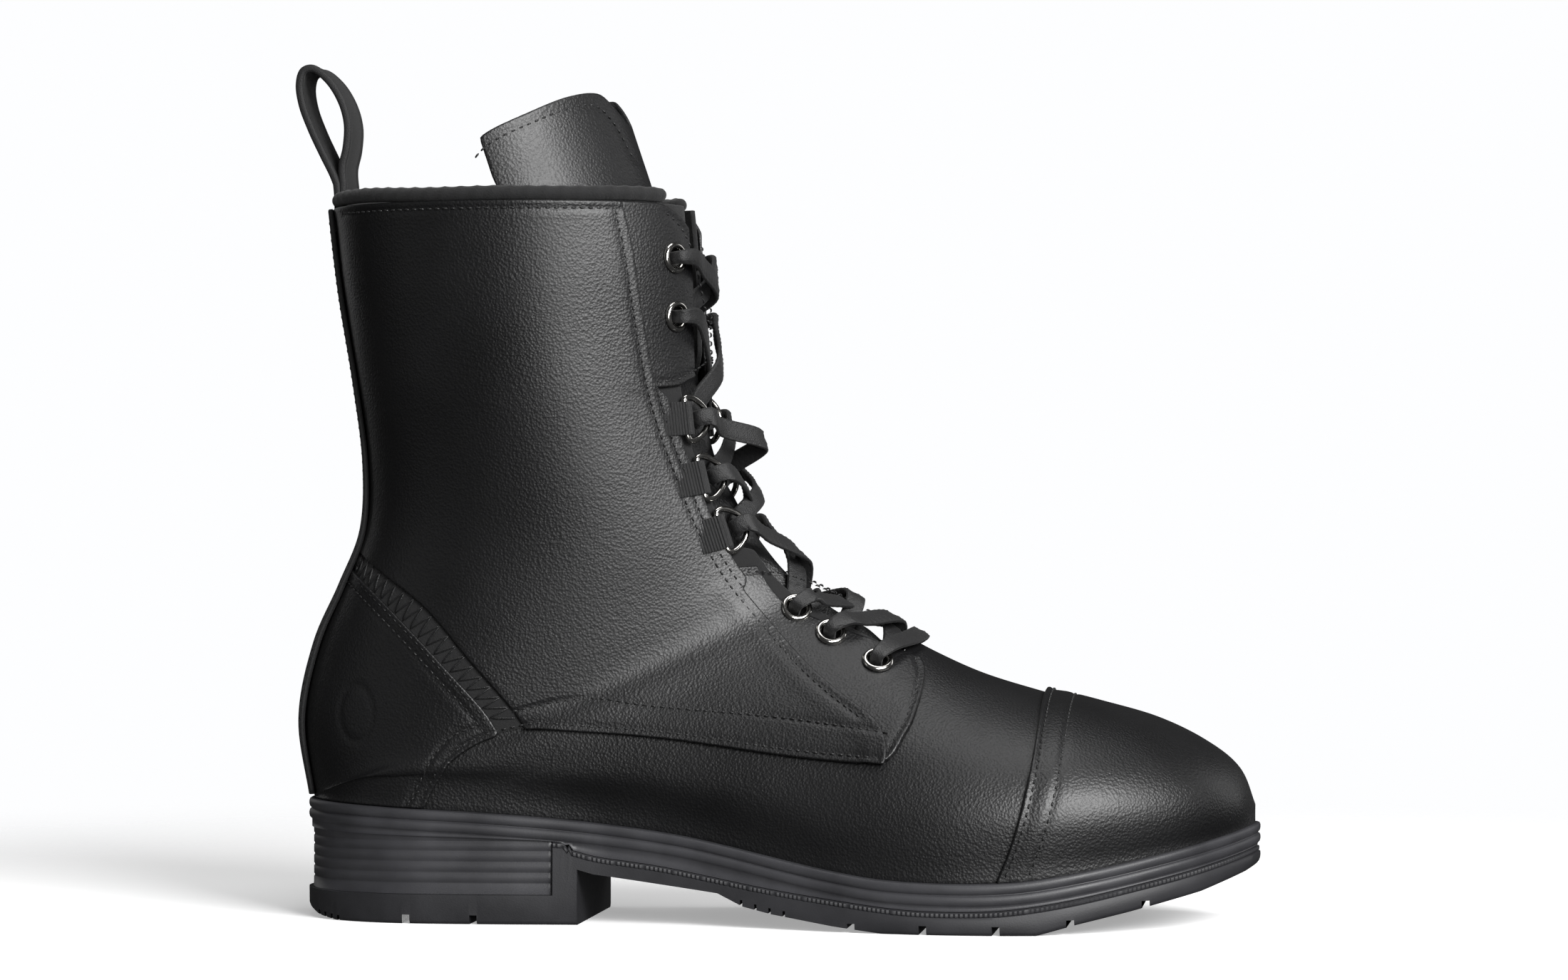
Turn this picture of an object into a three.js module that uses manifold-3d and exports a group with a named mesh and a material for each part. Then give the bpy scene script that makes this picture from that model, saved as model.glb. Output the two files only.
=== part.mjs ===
// Lace-up leather fire boot, right foot, safety toe, moulded two-part sole.
// Millimetres, +Z up, +X towards the toe, the outer (lateral) side on -Y.
// Every leather part is a layer of one last surface, so parts that lap share its shape.

import * as THREE from "three";
import { mergeVertices } from "three/addons/utils/BufferGeometryUtils.js";
import Module from "manifold-3d";

const wasm = await Module();
wasm.setup();

// ---------------------------------------------------------------- driving dimensions
const LAST_LENGTH = 290; // heel to toe along the feather line
const LAST_WIDTH = 100; // across the ball of the foot
const SHAFT_TOP = 224; // top edge of the leather shaft above the ground
const LEATHER = 1.7; // outer leather
const LINING = 1.1; // textile lining
const COUNTER = 1.9; // heel stiffener
const GAP = 0.3; // clearance between neighbouring pieces
const LAP = 0.48; // clearance between lapped layers
const WELT = 3.9; // how far the sole stands out from the feather line
const TREAD_GROOVE = { width: 2.6, depth: 2.8 };
const BOARD = 2.2; // insole board
const FOOTBED = 4.5;
const SHANK = { from: -92, to: -8, width: 18, thick: 1.6 };
const FACING_GAP = 13; // from the crest to a facing's front edge
const RING_RECESS = 7; // how much further back the facing stands beside the rings
const HOLE_LINE = 22; // from the crest to the eyelet centres
const BACKING_WIDTH = 25; // facing backing, from its front edge
const EYELET = { outer: 4.9, bore: 2.85, wall: 0.4, flange: 0.9 };
const RING = { wire: 0.95, bar: 13.4, bow: 9 };
const TAB = { width: 10.4, ply: 0.9, tail: 7 };
const LACE_RADIUS = 1.2;
const AGLET = { radius: 1.1, length: 14 };
const TONGUE = { leather: 1.4, lining: 1.2, top: 70, base: 33, lean: 7 };
const COLLAR_ROLL = 2.3; // radius of the padded top edge
const STRAP = { width: 20, thick: 1.5 }; // back strip
const LOOP = { width: 20, tape: 3.2, height: 38, depth: 16, lean: 9, hem: 2.4 };

// ---------------------------------------------------------------- grading
// The tables below hold the pattern of the base size; grading carries it to the sizes above.
const BASE = { length: 290, width: 100, top: 224, ankle: 133 };
const lengthwise = LAST_LENGTH / BASE.length;
const crosswise = LAST_WIDTH / BASE.width;
const upwards = (SHAFT_TOP - BASE.ankle) / (BASE.top - BASE.ankle);
const gradeX = (x) => x * lengthwise;
const gradeZ = (z) => (z <= BASE.ankle ? z : BASE.ankle + (z - BASE.ankle) * upwards);
const grade = ([x, y, z]) => [gradeX(x), y * crosswise, gradeZ(z)];

// ---------------------------------------------------------------- pattern of the last
// Crest: from the front of the collar down the lacing, over the vamp to the toe.
const CREST = [
  [-26.5, 0, 232], [-23.5, 0, 200], [-22.3, 0, 170], [-17, 0, 145], [-11, 0, 132.5],
  [-6, 0, 123.5], [-1, 0, 116.5], [4, 0, 110.5], [9, 0, 106], [14.5, 0, 102],
  [20.5, 0, 98], [28, 0, 94], [37, 0, 89], [49, 0.3, 82.6], [64, 1, 75.8],
  [81, 2, 70.6], [99, 3, 66], [116.5, 4, 61], [131, 4.6, 54], [141, 5, 46],
  [145.6, 5, 35],
];
// Back seam: from the collar down to the back of the heel.
const BACK = [
  [-139.6, 0, 230], [-135.8, 0, 197], [-131.1, 0, 168], [-127.9, 0, 142], [-128.9, 0, 120],
  [-136, 0, 102], [-144, 0, 84], [-148.5, 0, 61], [-144.8, 0, 36.8],
];
// Feather line, where the upper meets the sole: x, outer y, inner y.
const FEATHER = [
  [-144.8, 0, 0], [-137, -20.5, 19], [-117, -32, 29.5], [-87, -33.5, 29.5], [-50, -32, 26.5],
  [-10, -37.5, 31], [28, -48, 41.5], [58, -53.5, 46.5], [85, -51.5, 45], [108, -43, 39.5],
  [127.5, -30, 31], [140.3, -13, 22], [145.3, 5, 5],
];
// Widest line of the sides: x, outer y, inner y, z.
const SIDE = [
  [-80, -46, 46, 231], [-77, -44.5, 44.5, 198.5], [-74, -42, 42, 169], [-70, -39, 39, 142],
  [-69, -37, 36.5, 122], [-72, -36, 35, 106], [-78, -35.5, 34, 90], [-86, -35.5, 33.5, 74],
  [-94, -35.5, 33, 58], [-97, -35.5, 32.5, 51], [-86, -36, 32.5, 50], [-60, -35.5, 31, 50],
  [-30, -37, 31.5, 48], [2, -42, 35.5, 43], [35, -50, 43.5, 36], [62, -54.3, 47.3, 31.5],
  [88, -52.2, 45.7, 31], [110, -43.7, 40.2, 32], [128.7, -30.7, 31.7, 33.5],
  [140.8, -13.7, 22.5, 34.5], [145.5, 5, 5, 34.8],
];
const HEEL_POINT = BACK.length - 1; // the station where the back seam meets the feather line
const TOE_POINT = CREST.length - 1;
// Side profile of the sole: x, z.
const SOLE_TOP = [
  [-151, 37], [-113, 35.3], [-85, 33.9], [-56, 31.5], [-25, 27.6], [6, 21.2], [22, 18.2],
  [38, 16], [61, 15.3], [80, 16.2], [100, 19.4], [119, 23.4], [138, 27.9], [151, 31.5],
];
const PARTING = [
  [-160, 28], [-66, 25.5], [-62, 21.2], [-45, 20], [-29, 17.8], [-1, 12.8], [22, 9.7], [43, 7.4],
  [62, 7], [77, 7.8], [94, 10.4], [113, 14.5], [132, 19], [155, 25.5],
];
const SOLE_BOTTOM = [
  [-155, 7], [-148, 3], [-142, 1], [-135, 0], [84, 0], [96, 3.2], [111, 6.6], [132, 11.8],
  [145, 16.5], [155, 21.5],
];
const ARCH = [
  [-58, -5], [-58, 17], [-53, 15.6], [-32, 12.9], [-14, 10.6], [-6, 6.8], [3, 4.8], [22, 1.9],
  [38, 0], [38, -5],
];
const HEEL_PANEL = { front: -65.5, low: 9, high: 30, inset: 1.4 };
const GROOVES = [-111, -90, 28, 50, 72, 94, 116]; // tread grooves across the sole

// ---------------------------------------------------------------- curves and surfaces
const mix = (a, b, k) => a + (b - a) * k;
const clamp = (v, low, high) => Math.min(high, Math.max(low, v));
const smooth = (from, to, v) => {
  const k = clamp((v - from) / (to - from), 0, 1);
  return k * k * (3 - 2 * k);
};

// A smooth curve through rows of numbers; before and after are the rows past its ends.
function through(rows, at, before, after) {
  const i = clamp(Math.floor(at), 0, rows.length - 2);
  const k = at - i;
  const p1 = rows[i];
  const p2 = rows[i + 1];
  const p0 = rows[i - 1] ?? before ?? p1.map((v, n) => 2 * v - p2[n]);
  const p3 = rows[i + 2] ?? after ?? p2.map((v, n) => 2 * v - p1[n]);
  return p1.map((v, n) => {
    const m1 = (p2[n] - p0[n]) / 2;
    const m2 = (p3[n] - v) / 2;
    const c = 3 * (p2[n] - v) - 2 * m1 - m2;
    const d = 2 * (v - p2[n]) + m1 + m2;
    return v + k * (m1 + k * (c + k * d));
  });
}

// Height of a side profile at x: straight between points of a smooth list.
function profileHeight(points, x) {
  const last = points.length - 1;
  if (x <= gradeX(points[0][0])) return points[0][1];
  if (x >= gradeX(points[last][0])) return points[last][1];
  const i = points.findIndex((p) => gradeX(p[0]) > x) - 1;
  const k = (x - gradeX(points[i][0])) / (gradeX(points[i + 1][0]) - gradeX(points[i][0]));
  return mix(points[i][1], points[i + 1][1], k);
}

// The feather line at a station of the last, on one side (-1 outer, 1 inner).
function featherAt(side, station) {
  const column = side < 0 ? 1 : 2;
  const other = side < 0 ? 2 : 1;
  const rows = FEATHER.map((r) => [r[0], r[column]]);
  const before = [FEATHER[1][0], FEATHER[1][other]];
  const end = FEATHER[FEATHER.length - 2];
  const [x, y] = through(rows, station - HEEL_POINT, before, [end[0], end[other]]);
  return new THREE.Vector3(gradeX(x), y * crosswise, profileHeight(SOLE_TOP, gradeX(x)) + GAP);
}

const vector = (row) => new THREE.Vector3(...grade(row));
const bezier = (p, a, b, q, k) => {
  const j = 1 - k;
  return p.clone().multiplyScalar(j * j * j)
    .addScaledVector(a, 3 * j * j * k)
    .addScaledVector(b, 3 * j * k * k)
    .addScaledVector(q, k * k * k);
};

// A point of the last: station runs from collar to toe, across from the crest (0) to the
// back seam or feather line (1).
function lastPoint(side, station, across) {
  if (station < 0) {
    const step = 0.02;
    const start = lastPoint(side, 0, across);
    const run = start.clone().sub(lastPoint(side, step, across)).divideScalar(step);
    return start.addScaledVector(run, -station);
  }
  const crest = vector(through(CREST, station));
  const [mx, outer, inner, mz] = through(SIDE, station);
  const middle = vector([mx, side < 0 ? outer : inner, mz]);
  const onSeam = station <= HEEL_POINT;
  const end = onSeam ? vector(through(BACK, station)) : featherAt(side, station);
  const spread = Math.abs(middle.y - crest.y);
  const fall = crest.clone().sub(end).setY(0);
  const lie = fall.clone().normalize();
  const low = clamp((station - HEEL_POINT) / 2, 0, 1);
  const across0 = new THREE.Vector3(0, side, 0);
  let rim = across0.clone();
  if (!onSeam) {
    const ahead = featherAt(side, station + 0.02).sub(featherAt(side, station - 0.02)).setZ(0);
    rim = ahead.normalize().multiplyScalar(1 - low).add(new THREE.Vector3(0, 0, low)).normalize();
  }
  if (across <= 0.5) {
    const reach = crest.clone().sub(middle).setY(0).length();
    const round = mix(0.46, 0.55, clamp((station - 12) / 4, 0, 1));
    return bezier(crest, crest.clone().addScaledVector(across0, spread * round),
      middle.clone().addScaledVector(lie, reach * 0.52), middle, across * 2);
  }
  const reach = middle.clone().sub(end).setY(0).length();
  const hug = mix(spread * 0.62, reach * 0.4, low);
  return bezier(middle, middle.clone().addScaledVector(lie, -reach * 0.5),
    end.clone().addScaledVector(rim, hug), end, across * 2 - 1);
}

// The outward normal of a curve in the boot's middle plane.
function planeNormal(rows, at, turn) {
  const ahead = vector(through(rows, at + 0.03)).sub(vector(through(rows, at - 0.03)));
  return new THREE.Vector3(-ahead.z * turn, 0, ahead.x * turn).normalize();
}

// The outward normal of the last there, a little inside its poles.
function lastNormal(side, station, across) {
  const t = clamp(station, -2, TOE_POINT - 0.06);
  if (across < 0.001) return planeNormal(CREST, t, 1);
  if (across > 0.999 && t <= HEEL_POINT) return planeNormal(BACK, Math.min(t, 7.6), -1);
  const poleward = t > 7.4 && t < 10.4 ? 0.93 : 0.99;
  const s1 = Math.min(poleward, across) + 0.01;
  const s0 = Math.max(0, s1 - 0.02);
  const s = (s0 + s1) / 2;
  const along = lastPoint(side, t + 0.03, s).sub(lastPoint(side, t - 0.03, s));
  const round = lastPoint(side, t, s1).sub(lastPoint(side, t, s0));
  const normal = along.cross(round).multiplyScalar(side).normalize();
  const heel = smooth(6.5, 7.5, t) * (1 - smooth(9.5, 11, t)) * smooth(0.55, 0.85, across);
  if (heel === 0) return normal;
  const radial = lastPoint(side, t, across).sub(vector([-114, 0, 50])).multiply(HEEL_SQUASH);
  return normal.multiplyScalar(1 - heel).addScaledVector(radial.normalize(), heel).normalize();
}
const HEEL_SQUASH = new THREE.Vector3(1, 1.15, 0.15);

const layerPoint = (side, station, across, lift) =>
  lastPoint(side, station, across).addScaledVector(lastNormal(side, station, across), lift);

// How far across the last a point lies whose distance from the crest is given.
function acrossAt(side, station, distance) {
  const steps = 60;
  let from = lastPoint(side, station, 0);
  let walked = 0;
  for (let i = 1; i <= steps; i++) {
    const to = lastPoint(side, station, i / steps);
    const leg = to.distanceTo(from);
    if (walked + leg >= distance) return (i - 1 + (distance - walked) / leg) / steps;
    walked += leg;
    from = to;
  }
  return 1;
}

// ---------------------------------------------------------------- solids
function meshFrom(triangles) {
  const flat = new Float32Array(triangles.flatMap((t) => t.flatMap((p) => [p.x, p.y, p.z])));
  const made = new THREE.BufferGeometry();
  made.setAttribute("position", new THREE.BufferAttribute(flat, 3));
  return made;
}

// A closed body between two surfaces over the same grid of us and vs.
function between(outer, inner, us, vs) {
  const triangles = [];
  const grid = (surface) => us.map((u) => vs.map((v) => surface(u, v)));
  const [top, under] = [grid(outer), grid(inner)];
  const [columns, rows] = [us.length - 1, vs.length - 1];
  const face = (a, b, c, d) => triangles.push([a, b, c], [a, c, d]);
  for (let i = 0; i < columns; i++) {
    for (let j = 0; j < rows; j++) {
      face(top[i][j], top[i + 1][j], top[i + 1][j + 1], top[i][j + 1]);
      face(under[i][j], under[i][j + 1], under[i + 1][j + 1], under[i + 1][j]);
    }
    face(top[i][0], under[i][0], under[i + 1][0], top[i + 1][0]);
    face(top[i][rows], top[i + 1][rows], under[i + 1][rows], under[i][rows]);
  }
  for (let j = 0; j < rows; j++) {
    face(top[0][j], top[0][j + 1], under[0][j + 1], under[0][j]);
    face(top[columns][j], under[columns][j], under[columns][j + 1], top[columns][j + 1]);
  }
  return meshFrom(triangles);
}

// A geometry as a manifold solid, its vertices merged and its faces turned outwards.
function solid(geometry) {
  const bare = new THREE.BufferGeometry();
  const source = geometry.index ? geometry.toNonIndexed() : geometry;
  bare.setAttribute("position", source.getAttribute("position").clone());
  const merged = mergeVertices(bare, 1e-3);
  const index = Array.from(merged.index.array);
  const kept = [];
  for (let i = 0; i < index.length; i += 3) {
    const [a, b, c] = index.slice(i, i + 3);
    if (a !== b && b !== c && a !== c) kept.push(a, b, c);
  }
  const build = (triVerts) =>
    new wasm.Manifold(new wasm.Mesh({
      numProp: 3,
      vertProperties: merged.attributes.position.array,
      triVerts: new Uint32Array(triVerts),
    }));
  const made = build(kept);
  if (made.volume() > 0) return made;
  for (let i = 0; i < kept.length; i += 3) [kept[i + 1], kept[i + 2]] = [kept[i + 2], kept[i + 1]];
  return build(kept);
}

function geometryOf(made) {
  const { numProp, vertProperties, triVerts } = made.getMesh();
  const points = new Float32Array((vertProperties.length / numProp) * 3);
  for (let i = 0; i < points.length / 3; i++) {
    points.set(vertProperties.subarray(i * numProp, i * numProp + 3), i * 3);
  }
  const geometry = new THREE.BufferGeometry();
  geometry.setAttribute("position", new THREE.BufferAttribute(points, 3));
  geometry.setIndex(new THREE.BufferAttribute(new Uint32Array(triVerts), 1));
  return geometry.toNonIndexed();
}

// The largest of the bodies that a cut leaves, without its crumbs.
const largest = (made) => made.decompose().sort((a, b) => b.volume() - a.volume())[0];

// A prism through the boot from a side-view outline, between two widths.
function sidePrism(points, from, to) {
  const shape = new THREE.Shape(points.map(([x, z]) => new THREE.Vector2(gradeX(x), gradeZ(z))));
  const low = Math.min(from, to);
  const geometry = new THREE.ExtrudeGeometry(shape, {
    depth: Math.abs(to - from), bevelEnabled: false,
  });
  geometry.rotateX(Math.PI / 2);
  geometry.translate(0, Math.abs(to - from) + low, 0);
  return solid(geometry);
}

function box(low, high) {
  const size = high.map((v, n) => v - low[n]);
  const geometry = new THREE.BoxGeometry(...size);
  geometry.translate(...low.map((v, n) => v + size[n] / 2));
  return solid(geometry);
}

// ---------------------------------------------------------------- materials
const finish = (color, roughness, metalness = 0) =>
  new THREE.MeshStandardMaterial({ color, roughness, metalness });
const MATERIAL = {
  leather: finish("#1b1b1e", 0.45),
  strap: finish("#151517", 0.8),
  textile: finish("#1d1d20", 0.9),
  rubber: finish("#26262a", 0.75),
  foam: finish("#3a3a3d", 0.95),
  board: finish("#b8a888", 0.9),
  metal: finish("#b9b9bb", 0.25, 1),
  steel: finish("#7c7f84", 0.4, 1),
};

const boot = new THREE.Group();
function add(name, made, material) {
  const mesh = new THREE.Mesh(geometryOf(made), material);
  mesh.name = name;
  boot.add(mesh);
  return mesh;
}

// ---------------------------------------------------------------- layers of the upper
// Lifts of a layer's two faces from the last surface.
const OVER = [LAP, LAP + LEATHER];
const UNDER = [-LEATHER, 0];
const beneath = ([low], thick) => [low - LAP - thick, low - LAP];
const STRAPPED = [OVER[1] + LAP, OVER[1] + LAP + STRAP.thick];
const DEEP = beneath(UNDER, COUNTER);
const PAD = [DEEP[0], 0];
const LINED = beneath(DEEP, LINING);
const VAMP_LINED = beneath(UNDER, LINING);
const TONGUE_OUT = beneath(LINED, TONGUE.leather);
const TONGUE_IN = beneath(TONGUE_OUT, TONGUE.lining);

const WIDE = 90 * crosswise; // past the boot on either side
const COLLAR = BASE.top - 2.6; // where the leather ends under the collar roll

// Side-view lines of the pattern: x, z.
const HEEL_SEAM = [
  [-165, 130], [-137, 114], [-122.5, 105], [-107.5, 93.5], [-95, 80], [-82, 65], [-77.5, 59.5],
];
const HEEL_EDGE = [[-89, 55], [-99, 46.5], [-106, 34], [-108, 8]];
const QUARTER_EDGE = [[-65, 59.3], [-32, 57], [7, 52], [36, 49.6]];
const FACING_SEAM = [
  [-46.5, 240], [-46, COLLAR], [-43, 205], [-40, 183], [-37, 165], [-33, 150], [-28, 136],
  [-22, 121], [-15, 108], [-5.5, 95.5], [8.5, 80.5], [20, 71], [36.5, 60],
];
const UPPER_FLAP = [
  [-46, COLLAR], [-37, COLLAR], [-29, 218.5], [-24, 215], [-14, 208], [-12, 176], [-20, 170.5],
  [-26, 166.5],
];
const LOWER_FLAP = [
  [-4, 109], [5, 112], [60, 115], [56, 90], [47, 83.5], [46.5, 78], [47.5, 73], [45, 62],
  [42, 57], [38.5, 52],
];
const WING_TOP = [
  [42.5, 92], [39.5, 80], [38, 66], [30, 59], [7, 60], [-32, 64.5], [-72, 64], [-100, 58],
];
const TOE_SEAM = [[69, 6], [71.5, 14.6], [76, 26], [79.5, 38], [82, 52], [83, 72], [83, 115]];

const shifted = (line, x, z) => line.map(([a, b]) => [a + x, b + z]);
const reversed = (line) => [...line].reverse();
const quarterOutline = [
  [-165, COLLAR], ...FACING_SEAM.slice(1), ...reversed(QUARTER_EDGE), ...reversed(HEEL_SEAM),
];
const heelOutline = [
  ...shifted(HEEL_SEAM, -GAP, -GAP), ...HEEL_EDGE, [-165, 8],
];
const vampOutline = [[92, 6], [94, 40], [96, 115], [43, 115], ...WING_TOP, [-165, 58], [-165, 6]];
const backingOutline = [[-90, 66], [37.4, 66], [39, 80], [41.5, 92], [42, 260], [-90, 260]];
const paddingOutline = [
  [-175, 87], [-60, 87], [-20, 70], [10, 120], [10, 260], [-175, 260],
];
const wholeSide = [[-175, 0], [175, 0], [175, 260], [-175, 260]];
const steelOutline = [[96.5, 6], [96.5, 115], [175, 115], [175, 6]];
const vampLiningOutline = [[44, 6], [44, 115], [95, 115], [95, 6]];
const cupOutline = [[-175, 0], [-92, 0], [-90, 40], [-98, 66], [-114, 84], [-175, 84]];
const toeOutline = [...TOE_SEAM, [175, 115], [175, 6]];
const upperFlapOutline = [
  ...UPPER_FLAP, ...reversed(shifted(FACING_SEAM.slice(2, 5), GAP * 1.3, -GAP * 0.3)),
];
const lowerFlapOutline = [
  ...LOWER_FLAP, ...reversed(shifted(FACING_SEAM.slice(8), GAP, GAP)),
];

const everywhere = (line) => sidePrism(line, -WIDE, WIDE);
const aboveSole = everywhere([
  [-175, SOLE_TOP[0][1] + GAP], ...shifted(SOLE_TOP, 0, GAP), [175, SOLE_TOP.at(-1)[1] + GAP],
  [175, 300], [-175, 300],
]);
const belowCollar = everywhere([[-175, -5], [175, -5], [175, COLLAR], [-175, COLLAR]]);
const trimmed = (made) => largest(made.intersect(aboveSole).intersect(belowCollar));

// Every layer is faceted on the same stations and shares across, so that layers nest.
const SHARES = [0, 0.07, 0.14, 0.21, 0.28, 0.36, 0.44, 0.5, 0.6, 0.7, 0.8, 0.9, 1];
const FACETS = [0, 0.7, 1.4, 2.1, 3, 4, 5, 6, 7, 7.5, 8, 8.5, 9, 10, 11, 12, 13, 14, 15, 16, 17,
  18, 18.5, 19, 19.5];
const stationsOf = (from, to) =>
  [from, ...FACETS.filter((t) => t > from + 0.05 && t < to - 0.05), to];

// A layer over one side: start and stop give its shares across the last by station.
function sideLayer(side, [low, high], stations, start, stop = () => 1) {
  const at = (lift) => (station, share) => {
    const across = clamp(share, start(station), stop(station));
    return layerPoint(side, station, across, lift);
  };
  return solid(between(at(high), at(low), stationsOf(...stations), SHARES));
}

// A layer over both sides, joined along the back seam down to the heel point.
function roundLayer(lifts, stations, start) {
  const [outer, inner] = [-1, 1].map((side) => sideLayer(side, lifts, stations, start(side)));
  return outer.add(inner);
}

// A layer right across the crest, between the same share of both sides.
function crossLayer([low, high], stations, stop = () => 1) {
  const at = (lift) => (station, share) => {
    const across = Math.min(Math.abs(share), stop(station));
    return layerPoint(Math.sign(share) || 1, station, across, lift);
  };
  const shares = [...reversed(SHARES).map((v) => -v), ...SHARES.slice(1)];
  return solid(between(at(high), at(low), stationsOf(...stations), shares));
}

const fromCrest = (side, width) => (station) => acrossAt(side, station, width);
const ringZone = (station) => smooth(1.75, 2.1, station) * (1 - smooth(5.5, 6, station));
const facingEdge = (side) => (station) =>
  acrossAt(side, station, FACING_GAP + RING_RECESS * ringZone(station));

function buildSide(side, name) {
  const half = (line) => sidePrism(line, side * GAP * 0.5, side * WIDE);
  const ahead = (line) => sidePrism(line, side * FACING_GAP, side * WIDE);
  const over = sideLayer(side, OVER, [0, 14.5], () => 0);
  const quarter = trimmed(over.intersect(half(quarterOutline)));
  add(`quarter_${name}`, pocketed(quarter, side, OVER[0] + 0.25), MATERIAL.leather);
  const upper = largest(over.intersect(ahead(upperFlapOutline)));
  add(`eyestay_upper_${name}`, holed(upper, side), MATERIAL.leather);
  const lower = largest(over.intersect(ahead(lowerFlapOutline)));
  add(`eyestay_lower_${name}`, holed(lower, side), MATERIAL.leather);
  const far = fromCrest(side, FACING_GAP + BACKING_WIDTH);
  const strip = sideLayer(side, UNDER, [0.2, 13], facingEdge(side), far);
  const backing = holed(trimmed(strip.intersect(half(backingOutline))), side);
  add(`facing_backing_${name}`, pocketed(backing, side, 3), MATERIAL.leather);
}

function buildSideLinings(side, name) {
  const half = (line) => sidePrism(line, side * GAP * 0.5, side * WIDE);
  const behind = fromCrest(side, FACING_GAP + BACKING_WIDTH + GAP);
  const foam = sideLayer(side, PAD, [0.2, 8], behind, () => 0.99);
  add(`ankle_padding_${name}`, trimmed(foam.intersect(half(paddingOutline))), MATERIAL.foam);
  const eased = (station) => 1 - 0.012 * smooth(7, 8, station);
  const lining = sideLayer(side, LINED, [0.2, 12.5], behind, eased);
  add(`lining_${name}`, trimmed(lining.intersect(half(wholeSide))), MATERIAL.textile);
}

function buildLower() {
  const wing = crossLayer([UNDER[0], -0.1], [4, 17.5], (t) => 1 - 0.006 * (1 - smooth(8, 9, t)));
  add("vamp", trimmed(wing.intersect(everywhere(vampOutline))), MATERIAL.leather);
  const toe = crossLayer(OVER, [13, 19.99]).intersect(everywhere(toeOutline));
  add("toe_cap", trimmed(toe), MATERIAL.leather);
  const cap = crossLayer(UNDER, [15.5, 19.99]).intersect(everywhere(steelOutline));
  add("safety_toe_cap", trimmed(cap), MATERIAL.steel);
  const inside = crossLayer(VAMP_LINED, [12.5, 17]).intersect(everywhere(vampLiningOutline));
  add("vamp_lining", trimmed(inside), MATERIAL.textile);
  const round = (side) => fromCrest(side, 50);
  const wings = crossLayer([UNDER[0] - 1, GAP], [7, 11]);
  const heel = roundLayer(OVER, [4, 12], round).intersect(everywhere(heelOutline));
  add("heel_panel", trimmed(heel.subtract(wings)), MATERIAL.leather);
  const cup = roundLayer([DEEP[0], DEEP[1] - LAP], [5, 11], round).intersect(everywhere(cupOutline));
  add("heel_stiffener", trimmed(cup), MATERIAL.board);
}

// ---------------------------------------------------------------- tongue
const tongueLean = (z) => {
  const k = Math.max(0, (z - gradeZ(165)) / (gradeZ(224) - gradeZ(165)));
  return TONGUE.lean * (k < 1 ? k * k : 2 * k - 1);
};

// A layer of the tongue: across from its outer edge to its inner edge, leaning back on top.
function tongueLayer([low, high], inset) {
  const at = (lift) => (station, share) => {
    const half = mix(TONGUE.top, TONGUE.base, smooth(1, 9, station)) - inset;
    const side = Math.sign(share) || 1;
    const across = Math.min(Math.abs(share), acrossAt(side, station, half));
    const point = layerPoint(side, station, across, lift);
    const free = Math.max(1 - smooth(0.05, 0.3, across), smooth(gradeZ(205), gradeZ(230), point.z));
    point.x -= tongueLean(point.z) * free;
    return point;
  };
  const shares = SHARES.filter((v) => v < 0.9);
  const both = [...reversed(shares).map((v) => -v), ...shares.slice(1)];
  const blank = solid(between(at(high), at(low), [-0.8, -0.4, ...stationsOf(0, 12.9)], both));
  const outline = [
    [-98, 212], [-95.5, 228], [-91, 237], [-84, 242.5], [-70, 249], [-58, 254.5], [-50, 256.5],
    [-46, 254.5], [-40, 247], [90, 120], [90, 60], [-98, 60],
  ];
  return largest(blank.intersect(everywhere(shifted(outline, 0, -inset))));
}

function buildTongue() {
  add("tongue", tongueLayer(TONGUE_OUT, 0), MATERIAL.leather);
  add("tongue_lining", tongueLayer(TONGUE_IN, 2.5), MATERIAL.textile);
}

// ---------------------------------------------------------------- collar, strip, pull loop
function buildCollar() {
  const centre = gradeZ(COLLAR) + GAP + COLLAR_ROLL;
  const at = (side, across) => {
    const point = layerPoint(side, 0.2, across, OVER[1] - COLLAR_ROLL);
    return point.setZ(centre);
  };
  const first = acrossAt(-1, 0.2, FACING_GAP + 9);
  const last = acrossAt(1, 0.2, FACING_GAP + 9);
  const steps = 12;
  const points = [];
  for (let i = 0; i <= steps; i++) points.push(at(-1, mix(first, 1, i / steps)));
  for (let i = 1; i <= steps; i++) points.push(at(1, mix(1, last, i / steps)));
  const path = new THREE.CatmullRomCurve3(points);
  add("collar_roll", rope(path, COLLAR_ROLL, 8, 34), MATERIAL.leather);
}

// A rope of round section along a path.
function rope(path, radius, sides, steps) {
  const shape = new THREE.Shape();
  for (let i = 0; i < sides; i++) {
    const a = (i / sides) * Math.PI * 2;
    const [x, y] = [radius * Math.cos(a), radius * Math.sin(a)];
    if (i) shape.lineTo(x, y);
    else shape.moveTo(x, y);
  }
  return solid(new THREE.ExtrudeGeometry(shape, { steps, extrudePath: path }));
}

function buildStrip() {
  const half = STRAP.width / 2;
  const at = (lift) => (station, v) => {
    const side = Math.sign(v) || 1;
    const back = lastPoint(side, station, 1);
    const near = 0.9;
    const run = back.distanceTo(lastPoint(side, station, near)) / (1 - near);
    return layerPoint(side, station, 1 - (Math.abs(v) * half) / run, lift);
  };
  const [low, high] = STRAPPED;
  const made = solid(between(at(high), at(low), stationsOf(0.2, 7.6), [-1, -0.5, 0, 0.5, 1]));
  add("back_strip", trimmed(made), MATERIAL.strap);
}

// The pull loop stands on the collar's back as a closed loop of tape on a round hem.
const HEM = {
  x: gradeX(BACK[0][0]) + 1.5,
  z: gradeZ(COLLAR) + GAP + COLLAR_ROLL * 2 + GAP + LOOP.hem,
};

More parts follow.
